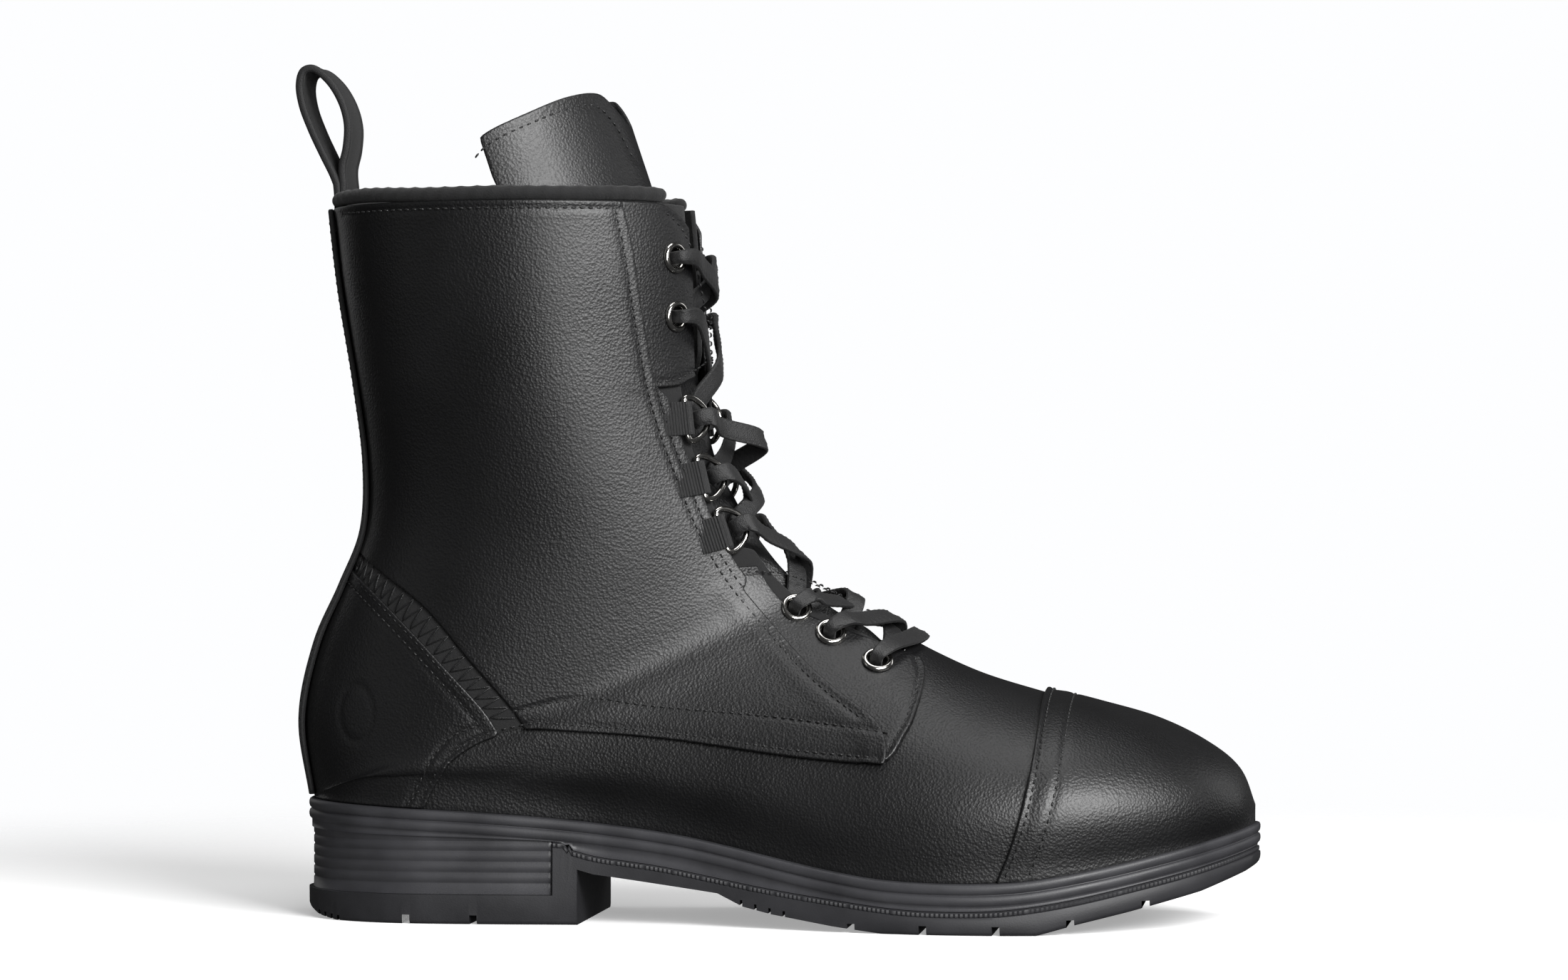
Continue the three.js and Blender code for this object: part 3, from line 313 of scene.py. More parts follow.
def last_normals(t, v):
    t, v = np.broadcast_arrays(np.asarray(t, float), np.asarray(v, float))
    t = np.clip(t, -2, TOE_POINT - 0.06)
    side = np.where(v < 0, -1.0, 1.0)
    s = np.abs(v)
    poleward = np.where((t > 7.4) & (t < 10.4), 0.93, 0.99)
    s1 = np.minimum(poleward, s) + 0.01
    s0 = np.maximum(0.0005, s1 - 0.02)
    mid = (s0 + s1) / 2
    along = last_points(t + 0.03, side * mid) - last_points(t - 0.03, side * mid)
    round_ = last_points(t, side * s1) - last_points(t, side * s0)
    normal = unit(np.cross(along, round_) * side[..., None])
    heel = (ease(6.5, 7.5, t) * (1 - ease(9.5, 11, t)) * ease(0.55, 0.85, s))[..., None]
    radial = (last_points(t, v) - np.array([-114, 0, 50])) * np.array([1, 1.15, 0.15])
    normal = unit(normal * (1 - heel) + unit(radial) * heel)
    near_crest = (1 - ease(0.0, 0.02, s))[..., None]
    normal = unit(normal * (1 - near_crest) + plane_normal(CREST, t, 1) * near_crest)
    seam_t = np.minimum(t, 7.6)
    near_seam = (ease(0.98, 1.0, s) * (1 - ease(6.6, 7.6, t)))[..., None]
    return unit(normal * (1 - near_seam) + plane_normal(BACK, seam_t, -1) * near_seam)


def layer(t, v, lift):
    """Points at a height above the last."""
    return last_points(t, v) + last_normals(t, v) * np.asarray(lift, float)[..., None]


def share_at(side, t, distance):
    """How far across the last, from 0 to 1, lies each distance from the crest."""
    t = np.atleast_1d(np.asarray(t, float))
    distance = np.broadcast_to(np.asarray(distance, float), t.shape)
    s = np.linspace(0, 1, 61)
    points = last_points(t[:, None], side * np.maximum(s, 1e-6)[None, :])
    legs = np.linalg.norm(np.diff(points, axis=1), axis=-1)
    walked = np.concatenate([np.zeros((len(t), 1)), np.cumsum(legs, 1)], 1)
    return np.array([np.interp(d, w, s) for d, w in zip(distance, walked)])


def locate(side, line):
    """Where side-view points lie on one side of the last, as t and v."""
    line = np.asarray(line, float)
    ts, ss = np.meshgrid(np.linspace(0, 15, 76), np.linspace(0.02, 0.99, 60), indexing="ij")
    grid = last_points(ts, side * ss)[..., [0, 2]].reshape(-1, 2)
    near = np.array([np.argmin(((grid - p) ** 2).sum(1)) for p in line])
    t, s = ts.ravel()[near], ss.ravel()[near]
    for _ in range(12):
        here = last_points(t, side * s)[:, [0, 2]]
        dt = (last_points(t + 0.01, side * s)[:, [0, 2]] - here) / 0.01
        ds = (last_points(t, side * np.clip(s + 0.002, 0, 1.1))[:, [0, 2]] - here) / 0.002
        miss = line - here
        det = dt[:, 0] * ds[:, 1] - dt[:, 1] * ds[:, 0]
        det = np.where(np.abs(det) < 1e-6, 1e-6, det)
        t = np.clip(t + np.clip((miss[:, 0] * ds[:, 1] - miss[:, 1] * ds[:, 0]) / det, -0.5, 0.5), -1, 19)
        s = np.clip(s + np.clip((dt[:, 0] * miss[:, 1] - dt[:, 1] * miss[:, 0]) / det, -0.1, 0.1), 0.001, 1)
    return t, side * s


def curtain(line, ahead, v):
    """Stations where the last crosses a side-view line that stands from side to side."""
    xs, zs = np.asarray(line, float).T
    low, high = np.full(len(v), 12.0), np.full(len(v), 18.5)
    for _ in range(30):
        middle = (low + high) / 2
        p = last_points(middle, v)
        past = p[:, 0] > np.interp(p[:, 2], zs, xs) + ahead
        high = np.where(past, middle, high)
        low = np.where(past, low, middle)
    return (low + high) / 2


# ------------------------------------------------------------------ meshes
class Shell:
    """Vertices and faces gathered for one mesh, in the pattern's millimetres."""

    def __init__(self):
        self.vertices = []
        self.faces = []
        self.count = 0

    def add(self, vertices, faces):
        vertices = np.asarray(vertices, float).reshape(-1, 3)
        self.vertices.append(vertices)
        self.faces.extend([tuple(int(i) + self.count for i in face) for face in faces])
        self.count += len(vertices)

    def piece(self, name, material, body, slot, replaces=(), smooth=True, shift=SHIFT):
        mesh = bpy.data.meshes.new(name)
        points = (np.vstack(self.vertices) + shift) * MM
        mesh.from_pydata(points.tolist(), [], self.faces)
        mesh.validate()
        mesh.update()
        obj = bpy.data.objects.new(name, mesh)
        bpy.context.scene.collection.objects.link(obj)
        mesh.materials.append(material)
        mesh.polygons.foreach_set("use_smooth", [smooth] * len(mesh.polygons))
        if body:
            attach(obj, body)
        if replaces:
            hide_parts(*replaces)
        return obj


def grid_faces(rows, columns, close_rows=False, close_columns=False):
    """Quads of a grid of vertices, wrapped round where asked."""
    faces = []
    for i in range(rows if close_rows else rows - 1):
        for j in range(columns if close_columns else columns - 1):
            i2, j2 = (i + 1) % rows, (j + 1) % columns
            faces.append((i * columns + j, i2 * columns + j, i2 * columns + j2, i * columns + j2))
    return faces


def sweep(centres, across, outward, section):
    """A closed solid along a line. section gives (n, k, 2) offsets: across and outward."""
    centres = np.asarray(centres, float)
    section = np.asarray(section, float)
    if section.ndim == 2:
        section = np.broadcast_to(section, (len(centres),) + section.shape)
    points = (centres[:, None] + across[:, None] * section[..., :1]
              + outward[:, None] * section[..., 1:])
    n, k = section.shape[:2]
    faces = grid_faces(n, k, close_columns=True)
    faces.append(tuple(range(k)))
    faces.append(tuple(reversed(range((n - 1) * k, n * k))))
    return points, faces


def around(count):
    """Angles at an even distance round a circle."""
    return np.arange(count) / count * 2 * math.pi


def oval(width, thick, sides=12, square=2.6):
    """A rounded section, from an ellipse (square 2) towards a box."""
    a = around(sides)
    c, s = np.cos(a), np.sin(a)
    power = 2 / square
    return np.stack([np.sign(c) * np.abs(c) ** power * width / 2,
                     np.sign(s) * np.abs(s) ** power * thick / 2], 1)


def frames_along(points, hint):
    """Across and outward directions along a line, from a hint of the outward direction."""
    run = unit(np.gradient(points, axis=0))
    across = unit(np.cross(run, hint))
    return across, unit(np.cross(across, run))


def stations_between(t0, t1, step):
    """Stations a step apart over the last."""
    t = np.linspace(t0, t1, 400)
    lengths = [np.linalg.norm(np.diff(last_points(t, v), axis=0), axis=1) for v in (-0.02, -0.5, -0.85)]
    walked = np.concatenate([[0], np.cumsum(np.max(lengths, 0) * 0.7 + np.mean(lengths, 0) * 0.3)])
    count = max(3, int(walked[-1] / step) + 2)
    return np.interp(np.linspace(0, walked[-1], count), walked, t)


def shares_between(v0, v1, step, t=3.0):
    """Shares a step apart across the last at one station."""
    v = np.linspace(v0, v1, 300)
    walked = walk(last_points(t + 0 * v, v))
    count = max(3, int(walked[-1] / step) + 2)
    return np.interp(np.linspace(0, walked[-1], count), walked, v)


def cut_grid(ts, vs, field):
    """Vertices (t, v) and faces of the part of a grid where field is above 0."""
    T, V = np.meshgrid(ts, vs, indexing="ij")
    F = field(T, V)
    index = -np.ones(T.shape, int)
    inside = F > 0
    index[inside] = np.arange(inside.sum())
    params = list(zip(T[inside], V[inside]))
    crossings = {}
    faces = []

    def crossing(a, b):
        key = (min(a, b), max(a, b))
        if key not in crossings:
            k = F[key[0]] / (F[key[0]] - F[key[1]])
            k = min(0.94, max(0.06, k))
            crossings[key] = len(params)
            params.append((T[key[0]] * (1 - k) + T[key[1]] * k, V[key[0]] * (1 - k) + V[key[1]] * k))
        return crossings[key]

    full = inside[:-1, :-1] & inside[1:, :-1] & inside[1:, 1:] & inside[:-1, 1:]
    some = inside[:-1, :-1] | inside[1:, :-1] | inside[1:, 1:] | inside[:-1, 1:]
    for i, j in zip(*np.nonzero(full)):
        faces.append((index[i, j], index[i + 1, j], index[i + 1, j + 1], index[i, j + 1]))
    for i, j in zip(*np.nonzero(some & ~full)):
        corners = [(i, j), (i + 1, j), (i + 1, j + 1), (i, j + 1)]
        face = []
        for a, b in zip(corners, corners[1:] + corners[:1]):
            if inside[a]:
                face.append(index[a])
            if inside[a] != inside[b]:
                face.append(crossing(a, b))
        if len(face) >= 3:
            faces.append(tuple(face))
    return np.array(params, float), faces


def boundary_loops(faces):
    """The closed lines of edges that only one face uses."""
    edges = {}
    for face in faces:
        for a, b in zip(face, face[1:] + face[:1]):
            edges[(a, b)] = True
    follow = {a: b for a, b in edges if (b, a) not in edges}
    loops = []
    while follow:
        start = next(iter(follow))
        loop = [start]
        at = follow.pop(start)
        while at != start and at in follow:
            loop.append(at)
            at = follow.pop(at)
        if len(loop) > 8:
            loops.append(loop)
    return loops


def relaxed(rows, faces, rounds):
    """Rows evened out with their neighbours over a mesh, its rim left alone."""
    edges = np.array([(face[n], face[n - 1]) for face in faces for n in range(len(face))])
    links = np.vstack([edges, edges[:, ::-1]])
    count = np.bincount(links[:, 0], minlength=len(rows))[:, None]
    rim = np.unique(np.concatenate([np.array(loop) for loop in boundary_loops(faces)]))
    for _ in range(rounds):
        total = np.stack([np.bincount(links[:, 0], rows[links[:, 1], k], len(rows)) for k in range(3)], 1)
        new = 0.5 * rows + 0.5 * total / np.maximum(count, 1)
        new[rim] = rows[rim]
        rows = new
    return rows


def leather_solid(shell, params, faces, low, high, place=None, edge=EDGE, move=None, relax=0):
    """A skin of leather: its two faces and a rounded cut edge that stands out by the edge radius."""
    t, v = params[:, 0], params[:, 1]
    if place is not None:
        t, v = place(t, v)
    base = last_points(t, v)
    if move is not None:
        base = move(t, v, base)
    normal = last_normals(t, v)
    if relax:
        base, normal = relaxed(base, faces, relax), unit(relaxed(normal, faces, relax))
    lows = low(t, v, base) if callable(low) else np.full(len(t), float(low))
    highs = high(t, v, base) if callable(high) else np.full(len(t), float(high))
    top = base + normal * highs[:, None]
    under = base + normal * lows[:, None]
    faces = [tuple(int(i) for i in face) for face in faces]
    a, b, c = (top[[face[n] for face in faces]] for n in range(3))
    turn = np.einsum("ij,ij->i", np.cross(b - a, c - a), normal[[face[0] for face in faces]])
    if np.median(turn) < 0:
        faces = [face[::-1] for face in faces]
    count = len(t)
    points = [top, under]
    solid = list(faces) + [tuple(i + count for i in face[::-1]) for face in faces]
    total = 2 * count
    for loop in boundary_loops(faces):
        ring = np.array(loop)
        here, up = top[ring], normal[ring]
        weights = [1, 2, 3, 2, 1]
        soft = sum(w * np.roll(here, n - 2, axis=0) for n, w in enumerate(weights)) / 9
        run = unit(np.roll(soft, -1, axis=0) - np.roll(soft, 1, axis=0))
        out = unit(np.cross(run, up))
        thick = np.maximum(highs[ring] - lows[ring], 0.2)
        radius = np.minimum(edge, thick * 0.55)[:, None]
        previous = ring
        for turn_ in (0.35, 0.65, 0.88, 1.0):
            a = turn_ * math.pi / 2
            rim = here + out * radius * math.sin(a) - up * radius * (1 - math.cos(a))
            added = np.arange(total, total + len(ring))
            points.append(rim)
            total += len(ring)
            solid.extend(ring_faces(previous, added))
            previous = added
        foot = under[ring] + out * radius
        added = np.arange(total, total + len(ring))
        points.append(foot)
        total += len(ring)
        solid.extend(ring_faces(previous, added))
        solid.extend(ring_faces(added, ring + count))
    shell.add(np.vstack(points), solid)


def ring_faces(upper, lower):
    """Quads between two closed rows of vertices."""
    n = len(upper)
    return [(int(upper[i]), int(lower[i]), int(lower[(i + 1) % n]), int(upper[(i + 1) % n]))
            for i in range(n)]


# ------------------------------------------------------------------ thread
def thread_template(sections=7, sides=6):
    """A stitch of length 1 that dives into the leather at both ends: run, across, out, girth."""
    rows = []
    for i in range(sections):
        u = -1 + 2 * i / (sections - 1)
        sink = -abs(u) ** 3 * 1.5
        girth = math.sqrt(max(0.05, 1 - abs(u) ** 4))
        for n in range(sides):
            a = 2 * math.pi * n / sides
            rows.append((u / 2, math.cos(a) * girth, math.sin(a) * girth + sink))
    faces = grid_faces(sections, sides, close_columns=True)
    faces.append(tuple(range(sides)))
    faces.append(tuple(reversed(range((sections - 1) * sides, sections * sides))))
    return np.array(rows), faces


STITCH, STITCH_FACES = thread_template()


def sew(shell, starts, ends, normals, radius):
    """Stitches from starts to ends."""
    run = ends - starts
    length = np.linalg.norm(run, axis=1, keepdims=True)
    run = unit(run)
    across = unit(np.cross(normals, run))
    out = unit(np.cross(run, across))
    middle = (starts + ends) / 2
    for m, r, a, o, l in zip(middle, run, across, out, length):
        points = m + STITCH[:, :1] * l * r + STITCH[:, 1:2] * radius * a + STITCH[:, 2:] * radius * o
        shell.add(points, STITCH_FACES)


def sew_line(shell, t, v, lift, sizes, lean=0.0):
    """A row of lockstitches along a line on the last."""
    points = layer(t, v, np.full(len(t), lift))
    rows = evenly(np.hstack([points, last_normals(t, v)]), sizes.stitch_pitch)
    p, n = rows[:, :3], unit(rows[:, 3:])
    gap = sizes.stitch_pitch * 0.17
    run = unit(p[1:] - p[:-1])
    sideways = np.cross(n[1:], run) * lean
    sew(shell, p[:-1] + run * gap + sideways, p[1:] - run * gap - sideways, n[1:] + n[:-1], sizes.thread / 2)


def zigzag(shell, low_line, high_line, lift, sizes, pitch):
    """Zigzag stitching between two lines given as (t, v)."""
    rows = []
    for t, v in (low_line, high_line):
        points = layer(t, v, np.full(len(t), lift))
        rows.append(np.hstack([points, last_normals(t, v)]))
    long = evenly(rows[0], pitch)
    count = len(long)
    at = np.linspace(0, 1, count)
    other = rows[1]
    legs = np.linalg.norm(np.diff(other[:, :3], axis=0), axis=1)
    share = np.concatenate([[0], np.cumsum(legs)]) / legs.sum()
    high = np.stack([np.interp(at, share, other[:, n]) for n in range(6)], 1)
    path = np.where((np.arange(count) % 2 == 0)[:, None], long, high)
    sew(shell, path[:-1, :3], path[1:, :3], path[1:, 3:] + path[:-1, 3:], sizes.thread / 2)


# ------------------------------------------------------------------ colours and nodes
def linear(code):
    """A hex colour in sRGB as linear numbers."""
    values = [int(code[i:i + 2], 16) / 255 for i in (1, 3, 5)]
    return tuple(v / 12.92 if v <= 0.04045 else ((v + 0.055) / 1.055) ** 2.4 for v in values)


def add(tree, kind, inputs=None, **settings):
    """One node: its settings, then its inputs as values or as other nodes' outputs."""
    node = tree.nodes.new(kind)
    for key, value in settings.items():
        setattr(node, key, value)
    for key, value in (inputs or {}).items():
        if isinstance(value, bpy.types.NodeSocket):
            tree.links.new(value, node.inputs[key])
        else:
            node.inputs[key].default_value = value
    return node


def new_material(name):
    material = bpy.data.materials.new(name)
    material.use_nodes = True
    material.node_tree.nodes.clear()
    return material


def ramp(tree, factor, stops):
    node = add(tree, "ShaderNodeValToRGB", {"Fac": factor})
    elements = node.color_ramp.elements
    elements[0].position, elements[1].position = stops[0][0], stops[-1][0]
    elements[0].color = (*stops[0][1], 1)
    elements[1].color = (*stops[-1][1], 1)
    for position, colour in stops[1:-1]:
        elements.new(position).color = (*colour, 1)
    return node


def grey(value):
    return (value, value, value)


def shade(colour, factor):
    return tuple(min(1.0, c * factor) for c in colour)


# ------------------------------------------------------------------ finishes
def surface_parts(name):
    material = new_material(name)
    tree = material.node_tree
    place = add(tree, "ShaderNodeTexCoord").outputs["Object"]
    shader = add(tree, "ShaderNodeBsdfPrincipled")
    add(tree, "ShaderNodeOutputMaterial", {"Surface": shader.outputs["BSDF"]})
    return material, tree, place, shader


def per_metre(millimetres):
    """Texture scale of a pattern whose repeat is that long."""
    return 1 / (millimetres * MM)


def bump(tree, height, distance, strength=1.0, normal=None):
    inputs = {"Height": height, "Distance": distance * MM, "Strength": strength}
    if normal is not None:
        inputs["Normal"] = normal
    return add(tree, "ShaderNodeBump", inputs).outputs["Normal"]


def waxed_cowhide(colour, sizes):
    """Full-grain cowhide, drum-dyed, pebble-embossed and waxed: dark, with soft broad highlights."""
    material, tree, place, shader = surface_parts("waxed_full_grain_cowhide")
    pebble = add(tree, "ShaderNodeTexVoronoi", {
        "Vector": place, "Scale": per_metre(sizes.grain), "Randomness": 1.0}, feature="F1")
    pores = add(tree, "ShaderNodeTexNoise", {
        "Vector": place, "Scale": per_metre(sizes.grain * 0.55), "Detail": 3.0})
    hide = add(tree, "ShaderNodeTexNoise", {"Vector": place, "Scale": per_metre(38), "Detail": 4.0})
    tone = ramp(tree, hide.outputs["Fac"], [(0.3, shade(colour, 0.8)), (0.7, shade(colour, 1.35))])
    wax = add(tree, "ShaderNodeMapRange", {
        "Value": hide.outputs["Fac"], "From Min": 0.3, "From Max": 0.7, "To Min": 0.42, "To Max": 0.5})
    tree.links.new(tone.outputs["Color"], shader.inputs["Base Color"])
    tree.links.new(wax.outputs["Result"], shader.inputs["Roughness"])
    relief = bump(tree, pebble.outputs["Distance"], 0.2, 0.6)
    relief = bump(tree, pores.outputs["Fac"], 0.16, 0.55, relief)
    tree.links.new(relief, shader.inputs["Normal"])
    shader.inputs["IOR"].default_value = 1.5
    shader.inputs["Coat Weight"].default_value = 0.12
    shader.inputs["Coat Roughness"].default_value = 0.34
    return material


def buffed_nubuck(colour):
    """Nubuck, its grain side sanded to a short nap: matt, with a faint pale bloom at the edges."""
    material, tree, place, shader = surface_parts("buffed_nubuck")
    nap = add(tree, "ShaderNodeTexNoise", {"Vector": place, "Scale": per_metre(0.7), "Detail": 5.0,
                                           "Roughness": 0.7})
    cloud = add(tree, "ShaderNodeTexNoise", {"Vector": place, "Scale": per_metre(9), "Detail": 3.0})
    tone = ramp(tree, cloud.outputs["Fac"], [(0.3, shade(colour, 0.75)), (0.75, shade(colour, 1.6))])
    tree.links.new(tone.outputs["Color"], shader.inputs["Base Color"])
    tree.links.new(bump(tree, nap.outputs["Fac"], 0.4, 0.8), shader.inputs["Normal"])
    shader.inputs["Roughness"].default_value = 0.82
    shader.inputs["Sheen Weight"].default_value = 0.1
    shader.inputs["Sheen Roughness"].default_value = 0.5
    return material


def woven_yarn(name, colour, thread, roughness):
    """Polyester yarn, woven or braided: fine threads that each catch a little light."""
    material, tree, place, shader = surface_parts(name)
    yarn = add(tree, "ShaderNodeTexVoronoi", {"Vector": place, "Scale": per_metre(thread)})
    dust = add(tree, "ShaderNodeTexNoise", {"Vector": place, "Scale": per_metre(6), "Detail": 3.0})
    tone = ramp(tree, dust.outputs["Fac"], [(0.3, shade(colour, 0.8)), (0.75, shade(colour, 1.4))])
    tree.links.new(tone.outputs["Color"], shader.inputs["Base Color"])
    tree.links.new(bump(tree, yarn.outputs["Distance"], 0.15, 0.6), shader.inputs["Normal"])
    shader.inputs["Roughness"].default_value = roughness
    shader.inputs["Sheen Weight"].default_value = 0.05
    return material


def moulded_rubber(name, colour, roughness):
    """Nitrile rubber, moulded in a blasted steel tool: dull grey-black with a fine even texture."""
    material, tree, place, shader = surface_parts(name)
    blast = add(tree, "ShaderNodeTexNoise", {"Vector": place, "Scale": per_metre(0.5), "Detail": 3.0})
    scuff = add(tree, "ShaderNodeTexNoise", {"Vector": place, "Scale": per_metre(16), "Detail": 5.0})
    tone = ramp(tree, scuff.outputs["Fac"], [(0.35, shade(colour, 0.85)), (0.7, shade(colour, 1.3))])
    rough = add(tree, "ShaderNodeMapRange", {
        "Value": scuff.outputs["Fac"], "From Min": 0.3, "From Max": 0.7,
        "To Min": roughness - 0.05, "To Max": roughness + 0.06})
    tree.links.new(tone.outputs["Color"], shader.inputs["Base Color"])
    tree.links.new(rough.outputs["Result"], shader.inputs["Roughness"])
    tree.links.new(bump(tree, blast.outputs["Fac"], 0.08, 0.5), shader.inputs["Normal"])
    shader.inputs["IOR"].default_value = 1.52
    return material


def metal(name, colour, roughness, brush):
    """Plated or pressed metal: clear reflections, dulled a little by fine handling marks."""
    material, tree, place, shader = surface_parts(name)
    marks = add(tree, "ShaderNodeTexNoise", {"Vector": place, "Scale": per_metre(brush), "Detail": 4.0})
    rough = add(tree, "ShaderNodeMapRange", {
        "Value": marks.outputs["Fac"], "To Min": roughness * 0.7, "To Max": roughness * 1.4})
    tone = ramp(tree, marks.outputs["Fac"], [(0.2, shade(colour, 0.85)), (0.8, shade(colour, 1.1))])
    tree.links.new(tone.outputs["Color"], shader.inputs["Base Color"])
    tree.links.new(rough.outputs["Result"], shader.inputs["Roughness"])
    tree.links.new(bump(tree, marks.outputs["Fac"], 0.01, 0.4), shader.inputs["Normal"])
    shader.inputs["Metallic"].default_value = 1.0
    return material


def pressed_fibre(name, colour, fibre):
    """Fibreboard, foam or spun lining: matt, flecked, with no gloss at all."""
    material, tree, place, shader = surface_parts(name)
    fleck = add(tree, "ShaderNodeTexNoise", {"Vector": place, "Scale": per_metre(fibre), "Detail": 6.0})
    tone = ramp(tree, fleck.outputs["Fac"], [(0.3, shade(colour, 0.7)), (0.7, shade(colour, 1.3))])
    tree.links.new(tone.outputs["Color"], shader.inputs["Base Color"])
    tree.links.new(bump(tree, fleck.outputs["Fac"], 0.12, 0.7), shader.inputs["Normal"])
    shader.inputs["Roughness"].default_value = 0.9
    return material


FINISHES = {}


def finish(name):
    """A finish by its short name, made when it is first asked for."""
    if name in FINISHES:
        return FINISHES[name]
    colours = bpy.context.scene.boot_colours
    sizes = bpy.context.scene.boot_sizes
    makers = {
        "leather": lambda: waxed_cowhide(tuple(colours.leather), sizes),
        "nubuck": lambda: buffed_nubuck(tuple(colours.nubuck)),
        "webbing": lambda: woven_yarn("grosgrain_polyester_webbing", tuple(colours.webbing), 0.35, 0.7),
        "lace": lambda: woven_yarn("braided_polyester_lace", tuple(colours.lace), 0.4, 0.62),
        "thread": lambda: woven_yarn("bonded_polyester_thread", tuple(colours.thread), 0.3, 0.5),
        "lining": lambda: woven_yarn("knitted_spacer_lining", tuple(colours.lining), 1.1, 0.85),
        "midsole": lambda: moulded_rubber("moulded_nitrile_midsole", tuple(colours.midsole), 0.5),
        "outsole": lambda: moulded_rubber("moulded_nitrile_outsole", tuple(colours.outsole), 0.56),
        "nickel": lambda: metal("nickel_plated_brass", tuple(colours.nickel), 0.16, 3),
        "steel": lambda: metal("pressed_spring_steel", linear("#8d9096"), 0.38, 1),
        "board": lambda: pressed_fibre("pressed_fibreboard", linear("#a28a6a"), 1.5),
        "foam": lambda: pressed_fibre("open_cell_foam", linear("#3c3c40"), 0.8),
        "footbed": lambda: pressed_fibre("needled_felt_footbed", linear("#2a2a2d"), 0.6),
        "acetate": lambda: woven_yarn("crimped_acetate_tip", linear("#1c1c1e"), 2.5, 0.35),
    }
    FINISHES[name] = makers[name]()
    return FINISHES[name]


# ------------------------------------------------------------------ what a user may change
def colour_property(name, description, code):
    return bpy.props.FloatVectorProperty(
        name=name, description=description, subtype="COLOR", size=3, min=0, max=1, default=linear(code))


def length_property(name, description, default):
    return bpy.props.FloatProperty(name=name, description=description + ", in millimetres",
                                   default=default, min=0.01, soft_max=default * 4)


class BootSizes(bpy.types.PropertyGroup):
    mesh_step: length_property("Mesh step", "Spacing of the leather meshes' points", 1.0)
    grain: length_property("Grain", "Width of a pebble of the embossed grain", 0.85)
    stitch_pitch: length_property("Stitch pitch", "Spacing of the lockstitches", 2.7)
    thread: length_property("Thread", "Diameter of the sewing thread", 0.62)
    lace_width: length_property("Lace width", "Width of the flat lace", 6.2)
    lace_thick: length_property("Lace thickness", "Thickness of the flat lace", 1.5)
    rib_pitch: length_property("Rib pitch", "Spacing of the ribs of the webbing", 0.95)


class BootColours(bpy.types.PropertyGroup):
    leather: colour_property("Leather", "Dyed and waxed upper leather", "#070708")
    nubuck: colour_property("Nubuck", "Collar roll and under-layers", "#060607")
    webbing: colour_property("Webbing", "Ring tabs, back strip and pull loop", "#0a0a0b")
    lace: colour_property("Lace", "Braided lace", "#080809")
    thread: colour_property("Thread", "Sewing thread", "#060607")
    lining: colour_property("Lining", "Textile lining", "#111113")
    midsole: colour_property("Midsole", "Upper layer of the sole", "#28282b")
    outsole: colour_property("Outsole", "Walking layer of the sole", "#1b1b1e")
    nickel: colour_property("Nickel", "Eyelets and rings", "#c9c7c3")


# ------------------------------------------------------------------ tongue, back strip, loop and collar
TONGUE = {"top": 72, "base": 33, "lean": 7, "lean_from": 165, "lean_height": 59, "face": -6.14}
STRAP = {"width": 20}
LOOP = {"width": 20, "height": 38, "lean": 9, "hem": 2.4}
ROLL = 2.3  # radius of the collar roll
HEM = (BACK[0][0] + 1.5, COLLAR + GAP + ROLL * 2 + GAP + LOOP["hem"])

# ------------------------------------------------------------------ lacing places
EYELET = {"outer": 4.9, "bore": 2.85}
RING = {"wire": 0.95, "bar": 13.4, "bow": 9}
TAB = {"width": 10.4, "ply": 0.9}
RING_LIFT = TAB["ply"] + RING["wire"] + GAP
LACING = [
    (12.5, HOLE_LINE + 2, "eyelet"), (11.1, HOLE_LINE - 1.3, "eyelet"), (9.4, HOLE_LINE - 4, "eyelet"),
    (5, HOLE_LINE, "ring"), (3.5, HOLE_LINE, "ring"), (2.55, HOLE_LINE, "ring"),
    (1.43, HOLE_LINE, "eyelet"), (0.85, HOLE_LINE, "eyelet"),
]
SIDES = [(-1, "outer"), (1, "inner")]
OVER_TOP = SOFT_GAP + PLY


def seat(side, station, distance, lift):
    """A frame on the last: its point, forward (towards the crest), outward and up the lacing."""
    s = share_at(side, station, distance)[0]
    t = np.array([float(station)])
    point = layer(t, side * np.array([s]), np.array([float(lift)]))[0]
    normal = last_normals(t, side * np.array([s]))[0]
    nearer = layer(t, side * np.array([max(1e-6, s - 0.02)]), np.array([float(lift)]))[0]
    forward = nearer - point
    forward = unit(forward - normal * (forward @ normal))
    return point, forward, normal, np.cross(forward, normal)


def seated(points, at):
    """Points given as forward, outward and up, moved to a seat."""
    point, forward, normal, up = at
    points = np.asarray(points, float)
    return point + points[..., :1] * forward + points[..., 1:2] * normal + points[..., 2:] * up


def one_point(side, station, distance, lift):
    s = share_at(side, station, distance)[0]
    return layer(np.array([float(station)]), side * np.array([max(s, 1e-6)]), np.array([float(lift)]))[0]


